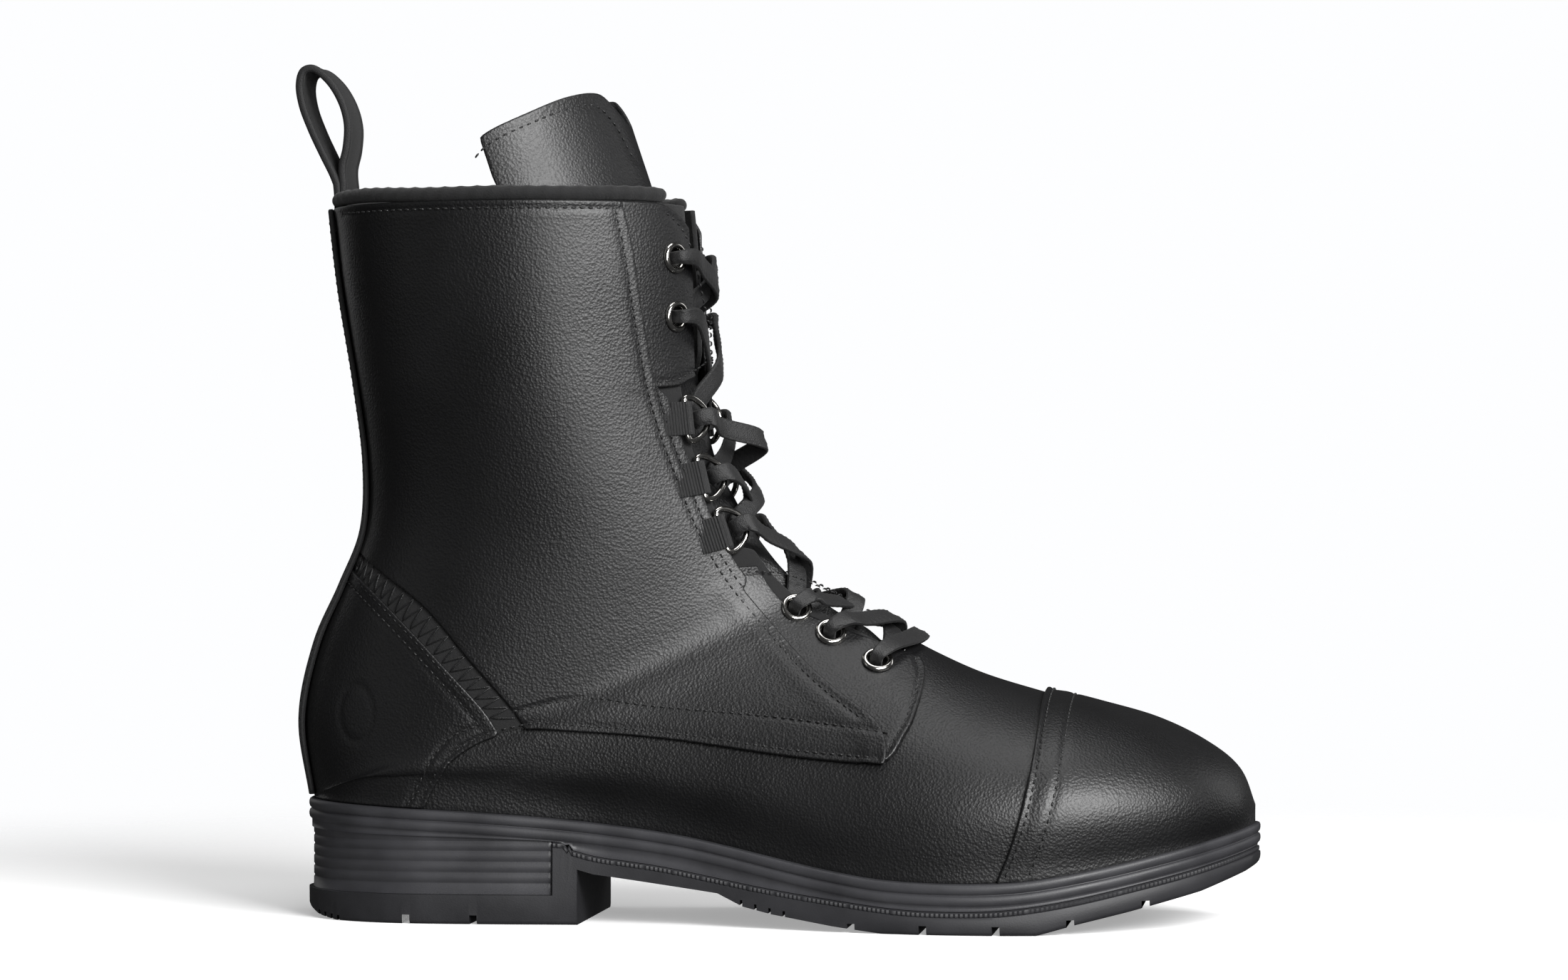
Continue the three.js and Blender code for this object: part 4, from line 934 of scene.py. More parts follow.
def lace_half(first, crossing):
    """Half the lace's route: points, then width and thickness shares, by the lacing's places."""
    rows = []
    side = first
    radius = 1.2
    over = OVER_TOP + radius + 0.5
    under = -PLY - radius - 1.2

    def put(station, distance, lift, narrow=1.0):
        p = one_point(side, station, distance, lift)
        run = through(CREST, station - 0.05) - through(CREST, station + 0.05)
        rows.append([*p, narrow, *unit(run)])

    for i, (station, out, kind) in enumerate(LACING):
        last = i + 1 == len(LACING)
        up = station if last else LACING[i + 1][0]
        low = LACING[i - 1][0] * 0.14 + station * 0.86 if i else station
        if i == 0:
            put(station, 9, over - 0.3)
        if kind == "eyelet":
            if i:
                put(low, FACING_GAP - 1, over + 0.4)
            put(station, out - 4.4, over + 2, 0.85)
            put(station, out + 0.2, OVER_TOP + 2.6, 0.68)
            put(station, out + 0.5, 0.6, 0.62)
            put(station, out, -2.3, 0.66)
            if not last:
                put(station * 0.96 + up * 0.04, out - 1.7, under, 0.75)
                put(station * 0.9 + up * 0.1, out - 5, under, 0.9)
        else:
            rise = RING["wire"] + radius + 1.15
            bow = out - RING["bow"]
            put(low, bow - 3, RING_LIFT + rise - 0.6)
            put(station, bow + 1.2, RING_LIFT + rise, 0.9)
            put(station, bow + 4, RING_LIFT, 0.8)
            put(station, bow + 1.2, RING_LIFT - rise, 0.9)
        if last:
            break
        put(station * 0.8 + up * 0.2, FACING_GAP - 3, under + 0.6 if kind == "eyelet" else -1.2)
        cross = crossing + (9 if first > 0 and i == 4 else 0)
        put(station * 0.5 + up * 0.5, 0.0, cross)
        side = -side
    for station, more in ((0.9, 4), (1.02, 8.5), (1.3, 10.5), (1.55, 10.5)):
        put(station, HOLE_LINE + more, under, 0.7)
    return rows


def centripetal(rows, per_leg=24):
    """A smooth curve through unevenly spaced points, that doesn't overshoot."""
    rows = np.asarray(rows, float)
    padded = np.vstack([2 * rows[0] - rows[1], rows, 2 * rows[-1] - rows[-2]])
    out = []
    for p0, p1, p2, p3 in zip(padded[:-3], padded[1:-2], padded[2:-1], padded[3:]):
        d0, d1, d2 = (max(np.linalg.norm((b - a)[:3]) ** 0.5, 1e-4)
                      for a, b in ((p0, p1), (p1, p2), (p2, p3)))
        m1 = ((p1 - p0) / d0 - (p2 - p0) / (d0 + d1) + (p2 - p1) / d1) * d1
        m2 = ((p2 - p1) / d1 - (p3 - p1) / (d1 + d2) + (p3 - p2) / d2) * d1
        k = np.linspace(0, 1, per_leg, endpoint=False)[:, None]
        out.append(p1 + k * (m1 + k * (3 * (p2 - p1) - 2 * m1 - m2 + k * (2 * (p1 - p2) + m1 + m2))))
    out.append(rows[-1:])
    return np.vstack(out)


def lace_route():
    middle = one_point(1, LACING[0][0], 0.0, OVER_TOP + 1.2)
    run = through(CREST, 12.45) - through(CREST, 12.55)
    rows = lace_half(-1, 0.2)[::-1] + [[*middle, 1.0, *unit(run)]] + lace_half(1, 0.4 + 2.4 + 0.6)
    return centripetal(rows)


# ------------------------------------------------------------------ operators
class BuildStage(bpy.types.Operator):
    """Sets a pale floor, soft studio lights and the camera"""
    bl_idname = "boot.stage"
    bl_label = "Studio"

    def execute(self, context):
        scene = context.scene
        scene.view_settings.view_transform = "Standard"
        target = Vector((0.0032, MIDDLE * MM, 0.1331))
        azimuth = math.radians(7)
        distance = 1.5
        camera = bpy.data.cameras.new("camera")
        camera.lens = 110.5
        camera.sensor_width = 36
        camera.clip_start = 0.05
        obj = bpy.data.objects.new("camera", camera)
        obj.location = target + Vector((math.sin(azimuth), -math.cos(azimuth), 0)) * distance
        obj.rotation_euler = (math.pi / 2, 0, azimuth)
        scene.collection.objects.link(obj)
        scene.camera = obj
        self.floor(scene)
        self.world(scene)
        for light in (
            ("key", (0.95, -1.15, 0.8), (0.0, 0.0, 0.12), 0.8, 0.7, 44),
            ("front_soft", (0.5, -1.45, 0.3), (0.0, 0.0, 0.12), 0.45, 0.6, 7),
            ("overhead", (0.1, -0.1, 1.5), (0.0, 0.0, 0.1), 0.9, 0.6, 7),
            ("left_fill", (-1.3, -0.7, 0.5), (-0.05, 0.0, 0.13), 0.3, 0.9, 0.6),
            ("rear_rim", (-0.9, 0.9, 0.6), (-0.1, 0.0, 0.15), 0.4, 1.0, 1.0),
            ("toe_rim", (1.2, 0.7, 0.5), (0.1, 0.0, 0.08), 0.5, 0.8, 2),
        ):
            self.softbox(scene, *light)
        return {"FINISHED"}

    def softbox(self, scene, name, place, aim, width, height, watts):
        light = bpy.data.lights.new(name, "AREA")
        light.shape = "RECTANGLE"
        light.size, light.size_y = width, height
        light.energy = watts
        obj = bpy.data.objects.new(name, light)
        obj.location = place
        obj.rotation_euler = (Vector(aim) - Vector(place)).to_track_quat("-Z", "Y").to_euler()
        scene.collection.objects.link(obj)

    def floor(self, scene):
        mesh = bpy.data.meshes.new("floor")
        far = 6.0
        corners = [(-far, -far, 0), (far, -far, 0), (far, far, 0), (-far, far, 0)]
        mesh.from_pydata(corners, [], [(0, 1, 2, 3)])
        obj = bpy.data.objects.new("floor", mesh)
        scene.collection.objects.link(obj)
        material, tree, place, shader = surface_parts("matt_white_paper_sweep")
        fibre = add(tree, "ShaderNodeTexNoise", {"Vector": place, "Scale": per_metre(2), "Detail": 2.0})
        tone = ramp(tree, fibre.outputs["Fac"], [(0.3, grey(0.86)), (0.7, grey(0.9))])
        tree.links.new(tone.outputs["Color"], shader.inputs["Base Color"])
        shader.inputs["Roughness"].default_value = 0.95
        shader.inputs["Specular IOR Level"].default_value = 0.1
        shader.inputs["Emission Color"].default_value = (1, 1, 1, 1)
        shader.inputs["Emission Strength"].default_value = 0.35
        self.fade(tree, shader)
        mesh.materials.append(material)
        obj.visible_glossy = False

    def fade(self, tree, shader):
        """Lets the paper end softly, so that no horizon shows."""
        place = add(tree, "ShaderNodeNewGeometry")
        reach = add(tree, "ShaderNodeVectorMath", {0: place.outputs["Position"]}, operation="LENGTH")
        share = add(tree, "ShaderNodeMapRange", {
            "Value": reach.outputs["Value"], "From Min": 0.26, "From Max": 0.62,
        }, interpolation_type="SMOOTHSTEP")
        clear = add(tree, "ShaderNodeBsdfTransparent")
        mixed = add(tree, "ShaderNodeMixShader", {
            "Fac": share.outputs["Result"], 1: shader.outputs["BSDF"], 2: clear.outputs["BSDF"]})
        output = next(node for node in tree.nodes if node.type == "OUTPUT_MATERIAL")
        tree.links.new(mixed.outputs["Shader"], output.inputs["Surface"])

    def world(self, scene):
        world = bpy.data.worlds.new("white_studio")
        world.use_nodes = True
        tree = world.node_tree
        tree.nodes.clear()
        ray = add(tree, "ShaderNodeLightPath")
        strength = add(tree, "ShaderNodeMapRange", {
            "Value": ray.outputs["Is Camera Ray"], "To Min": 0.04, "To Max": 1.0})
        sky = add(tree, "ShaderNodeBackground", {
            "Color": (0.985, 0.99, 1.0, 1), "Strength": strength.outputs["Result"]})
        add(tree, "ShaderNodeOutputWorld", {"Surface": sky.outputs["Background"]})
        scene.world = world


class BuildLace(bpy.types.Operator):
    """Threads the flat braided lace through the eyelets and rings"""
    bl_idname = "boot.lace"
    bl_label = "Lace"

    def execute(self, context):
        sizes = context.scene.boot_sizes
        step = 0.42
        rows = evenly(lace_route(), step)
        path, narrow = rows[:, :3], rows[:, 3]
        run = unit(np.gradient(path, axis=0))
        up = unit(rows[:, 4:])
        across = unit(up - run * np.einsum("ij,ij->i", up, run)[:, None])
        out = unit(np.cross(run, across))
        along = np.arange(len(path)) * step
        sides = 26
        section = np.empty((len(path), sides, 2))
        flat = oval(1, 1, sides, 3.4)
        plait = 1.05
        for n, (x, y) in enumerate(flat):
            cords = np.sin(2 * math.pi * x * 5.5)
            chevron = np.sin(2 * math.pi * (along / (2 * plait) + abs(x) * 2.2 + (0.5 if x > 0 else 0)))
            relief = 0.1 * chevron * (0.5 + 0.5 * abs(cords)) + 0.17 * cords
            width = sizes.lace_width * narrow
            thick = sizes.lace_thick * (1 + 1.6 * (1 - narrow))
            section[:, n, 0] = x * width
            section[:, n, 1] = y * (thick + relief * 2) + (1 - narrow) * 4.5 * (x * x - 0.1)
        shell = Shell()
        shell.add(*sweep(path, across, out, section))
        lace = shell.piece("lace_braid", finish("lace"), SHOE, "lace_braid", ["lace"])
        return {"FINISHED"}


FACING = smooth_line(FACING_SEAM, 8)
LOWER = smooth_line(LOWER_EDGE, 8)
CORNER = smooth_line(FRONT_CORNER, 8)
TOE_LINE = smooth_line(TOE_SEAM, 8)
TOP_OF_FLAP = smooth_line(FLAP_TOP, 6)
UPPER_OUTLINE = smooth_line(UPPER_FLAP, 8)
ZIG_TOP = smooth_line(BAND_TOP, 8)
ZIG_BASE = smooth_line(BAND_BASE, 8)


def ring_strip(z):
    """How much wider the quarter's front edge is beside the rings."""
    return 1.1 + 2.7 * ease(101, 106, z) * (1 - ease(160, 166, z))


def pucker(x, z, rows, depth=0.34, width=0.8):
    """How far the thread pulls the leather in beside rows of stitches."""
    total = np.zeros(np.shape(x))
    for row in rows:
        gap = line_distance(x, z, row)
        total = np.maximum(total, depth * np.exp(-(gap / width) ** 2))
    return total


def creases(t, v, base):
    """The slow unevenness of a hide over the last."""
    x, y, z = base[..., 0], base[..., 1], base[..., 2]
    waves = (np.sin(x * 0.07 + z * 0.031 + 1.3) * np.sin(z * 0.052 - x * 0.02 + y * 0.03)
             + 0.5 * np.sin(x * 0.13 - z * 0.11 + 0.7) * np.sin(z * 0.09 + y * 0.06))
    return 0.12 * waves


def row(line, low=-1e9, high=1e9, x_from=-1e9, x_to=1e9):
    """The part of a side-view line within heights and lengths."""
    line = np.asarray(line, float)
    keep = (line[:, 1] > low) & (line[:, 1] < high) & (line[:, 0] > x_from) & (line[:, 0] < x_to)
    return line[keep]


ROW = {
    "facing": row(offset_line(FACING, -1.4), 62, 219.5),
    "facing_strip": row(offset_line(FACING, 1.15), 102.5, 164.5),
    "lower": row(offset_line(LOWER, 1.9), 30, 80, -108, 37),
    "second": smooth_line(SECOND_ROW),
    "heel": smooth_line(HEEL_ROW),
    "band_a": row(offset_line(ZIG_BASE, -1.3), 58, 130, -150, -84),
    "band_b": row(offset_line(ZIG_BASE, -3.9), 58, 130, -150, -86),
    "corner": row(offset_line(CORNER, 1.9), 50, 81),
    "flap_top": row(offset_line(TOP_OF_FLAP, -1.9), 86, 120, -12, 33),
    "upper_flap": row(offset_line(UPPER_OUTLINE, -1.9), 164, 218.5, -37, 0),
    "collar": np.array([(-132, COLLAR - 2.4), (-44, COLLAR - 2.4)], float),
    "toe_a": row(TOE_LINE, 0, 90) + [2.0, 0],
    "toe_b": row(TOE_LINE, 0, 90) + [8.6, 0],
}
SEAL = {"x": -127.5, "z": 64, "wide": 5.5, "tall": 8.5}


def sealed(x, z):
    """The plain oval that is pressed into the heel panel."""
    r = np.hypot((x - SEAL["x"]) / SEAL["wide"], (z - SEAL["z"]) / SEAL["tall"])
    return 0.35 * np.exp(-((r - 1) * SEAL["wide"] / 0.7) ** 2)


def eyelet_room(side, base):
    """Distance outside the nearest eyelet hole."""
    room = np.full(base.shape[:-1], 1e9)
    for station, out, kind in LACING:
        if kind != "eyelet":
            continue
        point, _, normal, _ = seat(side, station, out, 0)
        gap = base - point
        gap = gap - (gap @ normal)[..., None] * normal
        near = np.linalg.norm(base - point, axis=-1) < 12
        room = np.where(near, np.minimum(room, np.linalg.norm(gap, axis=-1) - 3.3), room)
    return room


def side_piece(side, stations, shares, field, low, high, step, t_mid=3.0, relax=0):
    """A piece of leather on one side, cut where a field over the last is above 0."""
    ts = stations_between(*stations, step)
    vs = shares_between(side * shares[0], side * shares[1], step, t_mid)
    params, faces = cut_grid(ts, vs, lambda t, v: field(last_points(t, v)) - EDGE)
    shell = Shell()
    leather_solid(shell, params, faces, low, high, relax=relax)
    return shell


class BuildQuarters(bpy.types.Operator):
    """Cuts and skives the two quarters"""
    bl_idname = "boot.quarters"
    bl_label = "Quarters"

    def execute(self, context):
        sizes = context.scene.boot_sizes
        rows = [ROW[n] for n in ("facing", "facing_strip", "lower", "second", "collar")]

        def field(base):
            x, z = base[..., 0], base[..., 2]
            front = ring_strip(z) - line_distance(x, z, FACING)
            return np.minimum.reduce([
                front, line_distance(x, z, ZIG_TOP), line_distance(x, z, LOWER), COLLAR - z])

        def low(t, v, base):
            gap = ring_strip(base[:, 2]) - line_distance(base[:, 0], base[:, 2], FACING)
            return 0.5 + 1.0 * (1 - ease(6, 10, gap))

        def high(t, v, base):
            x, z = base[:, 0], base[:, 2]
            gap = ring_strip(z) - line_distance(x, z, FACING)
            skived = 0.25 * (1 - ease(5, 10, gap)) - 0.2 * (1 - ease(0, 6, line_distance(x, z, LOWER)))
            return OVER_TOP + skived - pucker(x, z, rows) + creases(t, v, base)

        for side, name in SIDES:
            shell = side_piece(side, (0.05, 14.6), (0.12, 1.0), field, low, high, sizes.mesh_step, relax=90)
            shell.piece(f"quarter_leather_{name}", finish("leather"), SHOE, "upper_leather",
                        [f"quarter_{name}"])
        return {"FINISHED"}


class BuildEyestays(bpy.types.Operator):
    """Cuts the upper and lower eyestays and the backing behind the rings"""
    bl_idname = "boot.eyestays"
    bl_label = "Eyestays"

    def execute(self, context):
        sizes = context.scene.boot_sizes
        for side, name in SIDES:
            def lower(base):
                x, z = base[..., 0], base[..., 2]
                return np.minimum.reduce([
                    line_distance(x, z, CORNER), -line_distance(x, z, TOP_OF_FLAP),
                    line_distance(x, z, FACING) + 5, np.abs(base[..., 1]) - FACING_GAP,
                    eyelet_room(side, base), z - 50])

            def upper(base):
                x, z = base[..., 0], base[..., 2]
                return np.minimum.reduce([
                    -line_distance(x, z, UPPER_OUTLINE), line_distance(x, z, FACING) + 5,
                    np.abs(base[..., 1]) - FACING_GAP, COLLAR - z, eyelet_room(side, base)])

            def high(t, v, base):
                rows = [ROW[n] for n in ("corner", "flap_top", "upper_flap", "facing_strip")]
                return 1.75 - pucker(base[:, 0], base[:, 2], rows) + creases(t, v, base)

            for part, field, stations, mid in (
                ("lower", lower, (5, 14.6), 10.0), ("upper", upper, (0.05, 4), 1.5),
            ):
                shell = side_piece(side, stations, (0.03, 0.75), field, 0.5, high, sizes.mesh_step, mid)
                shell.piece(f"eyestay_leather_{part}_{name}", finish("leather"), SHOE, "upper_leather",
                            [f"eyestay_{part}_{name}"])
            self.backing(side, name)
        return {"FINISHED"}

    def backing(self, side, name):
        ts = np.linspace(0.2, 13, 90)
        recess = ease(1.75, 2.1, ts) * (1 - ease(5.5, 6, ts))
        near = share_at(side, ts, FACING_GAP + RING_RECESS * recess)
        far = share_at(side, ts, FACING_GAP + BACKING_WIDTH)

        def place(t, w):
            a, b = np.interp(t, ts, near), np.interp(t, ts, far)
            return t, side * (a + (b - a) * np.abs(w))

        def field(base):
            x, z = base[..., 0], base[..., 2]
            toe = np.interp(z, [66, 80, 92, 260], [37.4, 39, 41.5, 42]) - x
            return np.minimum.reduce([toe, z - 66, COLLAR - z, eyelet_room(side, base), toe * 0 + 5])

        params, faces = cut_grid(stations_between(0.2, 13, 1.6), side * np.linspace(0, 1, 18),
                                 lambda t, w: field(last_points(*place(t, w))) - EDGE)
        shell = Shell()
        leather_solid(shell, params, faces, -PLY, -0.12, place)
        shell.piece(f"backing_nubuck_{name}", finish("nubuck"), SHOE, "upper_leather",
                    [f"facing_backing_{name}"])


class BuildHeel(bpy.types.Operator):
    """Cuts the heel panel and the zigzag-sewn band above it"""
    bl_idname = "boot.heel"
    bl_label = "Heel panel"

    def execute(self, context):
        sizes = context.scene.boot_sizes
        rows = [ROW[n] for n in ("heel", "band_a", "band_b", "lower")]

        def panel(base):
            x, z = base[..., 0], base[..., 2]
            return np.minimum.reduce([-line_distance(x, z, ZIG_BASE), line_distance(x, z, LOWER),
                                      z - sole_top(x) - 0.2])

        def band(base):
            x, z = base[..., 0], base[..., 2]
            return np.minimum.reduce([line_distance(x, z, ZIG_BASE) + 3, 3 - line_distance(x, z, ZIG_TOP),
                                      line_distance(x, z, LOWER) - 1, -72 - x])

        def high(t, v, base):
            x, z = base[:, 0], base[:, 2]
            edge = 0.2 * (1 - ease(0, 5, -line_distance(x, z, ZIG_BASE)))
            return OVER_TOP - pucker(x, z, rows) - sealed(x, z) + edge + 0.5 * creases(t, v, base)

        for side, name in SIDES:
            shell = side_piece(side, (3.4, 12), (0.4, 1.0), panel, 0.5, high, sizes.mesh_step, 6, relax=60)
            shell.piece(f"heel_leather_{name}", finish("leather"), SHOE, "upper_leather", ["heel_panel"])
            strip = side_piece(side, (3.0, 12), (0.4, 1.0), band, -0.4, 1.35, sizes.mesh_step, 6)
            strip.piece(f"heel_band_{name}", finish("nubuck"), SHOE, "upper_leather")
        return {"FINISHED"}


WING_TOP = smooth_line([
    (43, 125), (43, 108), (42.5, 92), (39.5, 80), (38, 66), (30, 59.5), (7, 60), (-32, 64.5), (-72, 64),
    (-100, 58), (-125, 50),
], 6)


class BuildVamp(bpy.types.Operator):
    """Lasts the vamp and the toe cap"""
    bl_idname = "boot.vamp"
    bl_label = "Vamp and toe cap"

    def execute(self, context):
        sizes = context.scene.boot_sizes
        step = sizes.mesh_step

        def vamp(t, v):
            base = last_points(t, v)
            x, z = base[..., 0], base[..., 2]
            return np.minimum.reduce([line_distance(x, z, WING_TOP), 95 - x, x + 116]) - EDGE

        params, faces = cut_grid(stations_between(8.3, 17.5, step), shares_between(-1, 1, step, 15), vamp)
        shell = Shell()
        leather_solid(shell, params, faces, -PLY, lambda t, v, b: 0.4 + creases(t, v, b))
        shell.piece("vamp_leather", finish("leather"), SHOE, "upper_leather", ["vamp"])

        def toe(t, v):
            base = last_points(t, v)
            return -line_distance(base[..., 0], base[..., 2], TOE_LINE) - EDGE

        def high(t, v, base):
            x, z = base[:, 0], base[:, 2]
            edge = -line_distance(x, z, TOE_LINE)
            bead = 0.35 * np.exp(-((edge - 0.9) / 0.8) ** 2)
            fold = 0.3 * ease(3, 6.5, edge) - 0.3
            sewn = pucker(x, z, [ROW["toe_a"], ROW["toe_b"]])
            return OVER_TOP + 0.1 + fold + bead - sewn + 0.4 * creases(t, v, base)

        params, faces = cut_grid(stations_between(13, 19.97, step), shares_between(-1, 1, step, 15), toe)
        shell = Shell()
        leather_solid(shell, params, faces, 0.5, high)
        shell.piece("toe_cap_leather", finish("leather"), SHOE, "upper_leather", ["toe_cap"])
        return {"FINISHED"}


class BuildStitching(bpy.types.Operator):
    """Sews every row of the upper"""
    bl_idname = "boot.stitching"
    bl_label = "Stitching"

    def execute(self, context):
        sizes = context.scene.boot_sizes
        lifts = {"facing": 2.2, "facing_strip": 2.2, "lower": 1.8, "second": 2.0, "heel": 2.0, "band_a": 2.05,
                 "band_b": 2.0, "corner": 1.6, "flap_top": 1.6, "upper_flap": 1.6, "collar": 2.05}
        for side, name in SIDES:
            shell = Shell()
            for key, lift in lifts.items():
                t, v = locate(side, evenly_2d(ROW[key]))
                sew_line(shell, t, v, lift - 0.05, sizes)
            low = locate(side, evenly_2d(row(ZIG_BASE, 60, 130, -150, -84)))
            high = locate(side, evenly_2d(row(ZIG_TOP, 60, 130, -150, -76)))
            zigzag(shell, low, high, 1.75, sizes, 1.9)
            shell.piece(f"stitching_{name}", finish("thread"), SHOE, "webbing")
        shell = Shell()
        v = np.concatenate([np.linspace(-0.97, -1e-5, 160), np.linspace(1e-5, 0.97, 160)])
        for ahead in (2.0, 8.6):
            sew_line(shell, curtain(TOE_LINE, ahead, v), v, OVER_TOP - 0.05, sizes)
        shell.piece("stitching_toe", finish("thread"), SHOE, "webbing")
        return {"FINISHED"}


def evenly_2d(line, step=1.5):
    line = np.asarray(line, float)
    return evenly(np.column_stack([line[:, 0], line[:, 1], np.zeros(len(line))]), step)[:, :2]


class BuildTongue(bpy.types.Operator):
    """Cuts the tongue and its lining"""
    bl_idname = "boot.tongue"
    bl_label = "Tongue"

    def execute(self, context):
        sizes = context.scene.boot_sizes
        outline = smooth_line([
            (-98.5, 180), (-98, 212), (-95.5, 228), (-91, 237), (-84, 242.5), (-70, 249), (-58, 254.5),
            (-50, 256.5), (-46, 254.5), (-40, 247), (-34, 236), (-10, 210), (30, 160),
        ], 8)
        ts = np.linspace(-0.85, 12.9, 140)
        half = TONGUE["top"] + (TONGUE["base"] - TONGUE["top"]) * ease(1, 9, ts)
        reach = {side: share_at(side, np.maximum(ts, 0), half) for side, _ in SIDES}

        def place(t, w):
            span = np.where(w < 0, np.interp(t, ts, reach[-1]), np.interp(t, ts, reach[1]))
            return t, span * w

        def lean(t, v, base):
            base = base.copy()
            s = np.abs(v)
            k = np.maximum(0, (base[..., 2] - TONGUE["lean_from"]) / TONGUE["lean_height"])
            back = TONGUE["lean"] * np.where(k < 1, k * k, 2 * k - 1)
            free = np.maximum(1 - ease(0.05, 0.3, s), ease(205, 230, base[..., 2]))
            base[..., 0] -= back * free
            return base

        def inside(inset):
            def field(t, w):
                t, v = place(t, w)
                base = lean(t, v, last_points(t, v))
                x, z = base[..., 0], base[..., 2]
                side_room = (1 - np.abs(w)) * np.interp(t, ts, half)
                return np.minimum(-line_distance(x, z, outline), side_room) - EDGE - inset
            return field

        edge_row = offset_line(outline, -3.4)
        edge_row = row(edge_row, 233, 260, -96, -37.5)

        def high(t, v, base):
            out = np.abs(v) / np.maximum(np.interp(t, ts, reach[1]), 1e-3) * np.interp(t, ts, half)
            padded = 2.6 * np.exp(-(out / 10) ** 2) * ease(0.6, 2.0, t) * (1 - ease(11, 12.5, t))
            sewn = pucker(base[:, 0], base[:, 2], [edge_row], 0.25)
            return TONGUE["face"] + padded - sewn + creases(t, v, base)

        stations = stations_between(-0.8, 12.8, 1.3)
        for name, low, top, inset, stuff, slot, node in (
            ("tongue_leather", -7.4, high, 0.0, "leather", "upper_leather", "tongue"),
            ("tongue_textile", -9.2, -8.0, 2.0, "lining", "lining_textile", "tongue_lining"),
        ):
            params, faces = cut_grid(stations, np.linspace(-1, 1, 85), inside(inset))
            shell = Shell()
            leather_solid(shell, params, faces, low, top, place, EDGE_THIN, lean)
            shell.piece(name, finish(stuff), "tongue_unit", slot, [node])
        self.sew_edge(edge_row, lean, sizes)
        return {"FINISHED"}

    def sew_edge(self, edge_row, lean, sizes):
        """The row of stitches beside the tongue's free edge, on both sides."""
        shell = Shell()
        for side, _ in SIDES:
            ts, ss = np.meshgrid(np.linspace(-0.84, 2.2, 150), np.linspace(0.003, 0.8, 160), indexing="ij")
            base = lean(ts, side * ss, last_points(ts, side * ss))
            flat = base[..., [0, 2]].reshape(-1, 2)
            near = np.array([np.argmin(((flat - p) ** 2).sum(1)) for p in evenly_2d(edge_row, 2.0)])
            t, v = ts.ravel()[near], side * ss.ravel()[near]
            points = lean(t, v, last_points(t, v)) + last_normals(t, v) * -6.2
            points[:, [0, 2]] += evenly_2d(edge_row, 2.0) - base.reshape(-1, 3)[near][:, [0, 2]]
            kernel = np.array([1, 2, 3, 2, 1]) / 9
            for n in range(3):
                padded = np.pad(points[:, n], 2, mode="edge")
                points[:, n] = np.convolve(padded, kernel, mode="valid")
            rows = evenly(np.hstack([points, last_normals(t, v)]), sizes.stitch_pitch)
            p, n = rows[:, :3], unit(rows[:, 3:])
            run = unit(p[1:] - p[:-1]) * sizes.stitch_pitch * 0.17
            sew(shell, p[:-1] + run, p[1:] - run, n[1:] + n[:-1], sizes.thread / 2)
        shell.piece("stitching_tongue", finish("thread"), "tongue_unit", "webbing")


class BuildLinings(bpy.types.Operator):
    """Lines the shaft and lays the footbed"""
    bl_idname = "boot.linings"
    bl_label = "Linings and footbed"

    def execute(self, context):
        ts = np.linspace(0.2, 12.5, 70)
        for side, name in SIDES:
            near = share_at(side, ts, FACING_GAP + BACKING_WIDTH + GAP)

            def place(t, w):
                a = np.interp(t, ts, near)
                return t, side * (a + (0.997 - a) * np.abs(w))

            def inside(t, w):
                base = last_points(*place(t, w))
                return np.minimum(COLLAR - base[..., 2], base[..., 2] - sole_top(base[..., 0]) - 9) - 0.4

            params, faces = cut_grid(stations_between(0.2, 12.4, 2.4), side * np.linspace(0, 1, 50), inside)
            shell = Shell()
            leather_solid(shell, params, faces, -5.6, -4.6, place, 0.4)
            shell.piece(f"lining_knit_{name}", finish("lining"), SHOE, "lining_textile", [f"lining_{name}"])
        bed = Shell()
        inset = -5.66 - 1.4
        rows = [(inset - 1.6, above_sole(6.9)), (inset - 0.7, above_sole(6.6)),
                (inset - 0.15, above_sole(5.8)), (inset, above_sole(4.6)), (inset, above_sole(3.0))]
        bed.add(*sole_loft(rows, 120))
        bed.piece("footbed_felt", finish("footbed"), SHOE, "foam", ["footbed"])
        return {"FINISHED"}


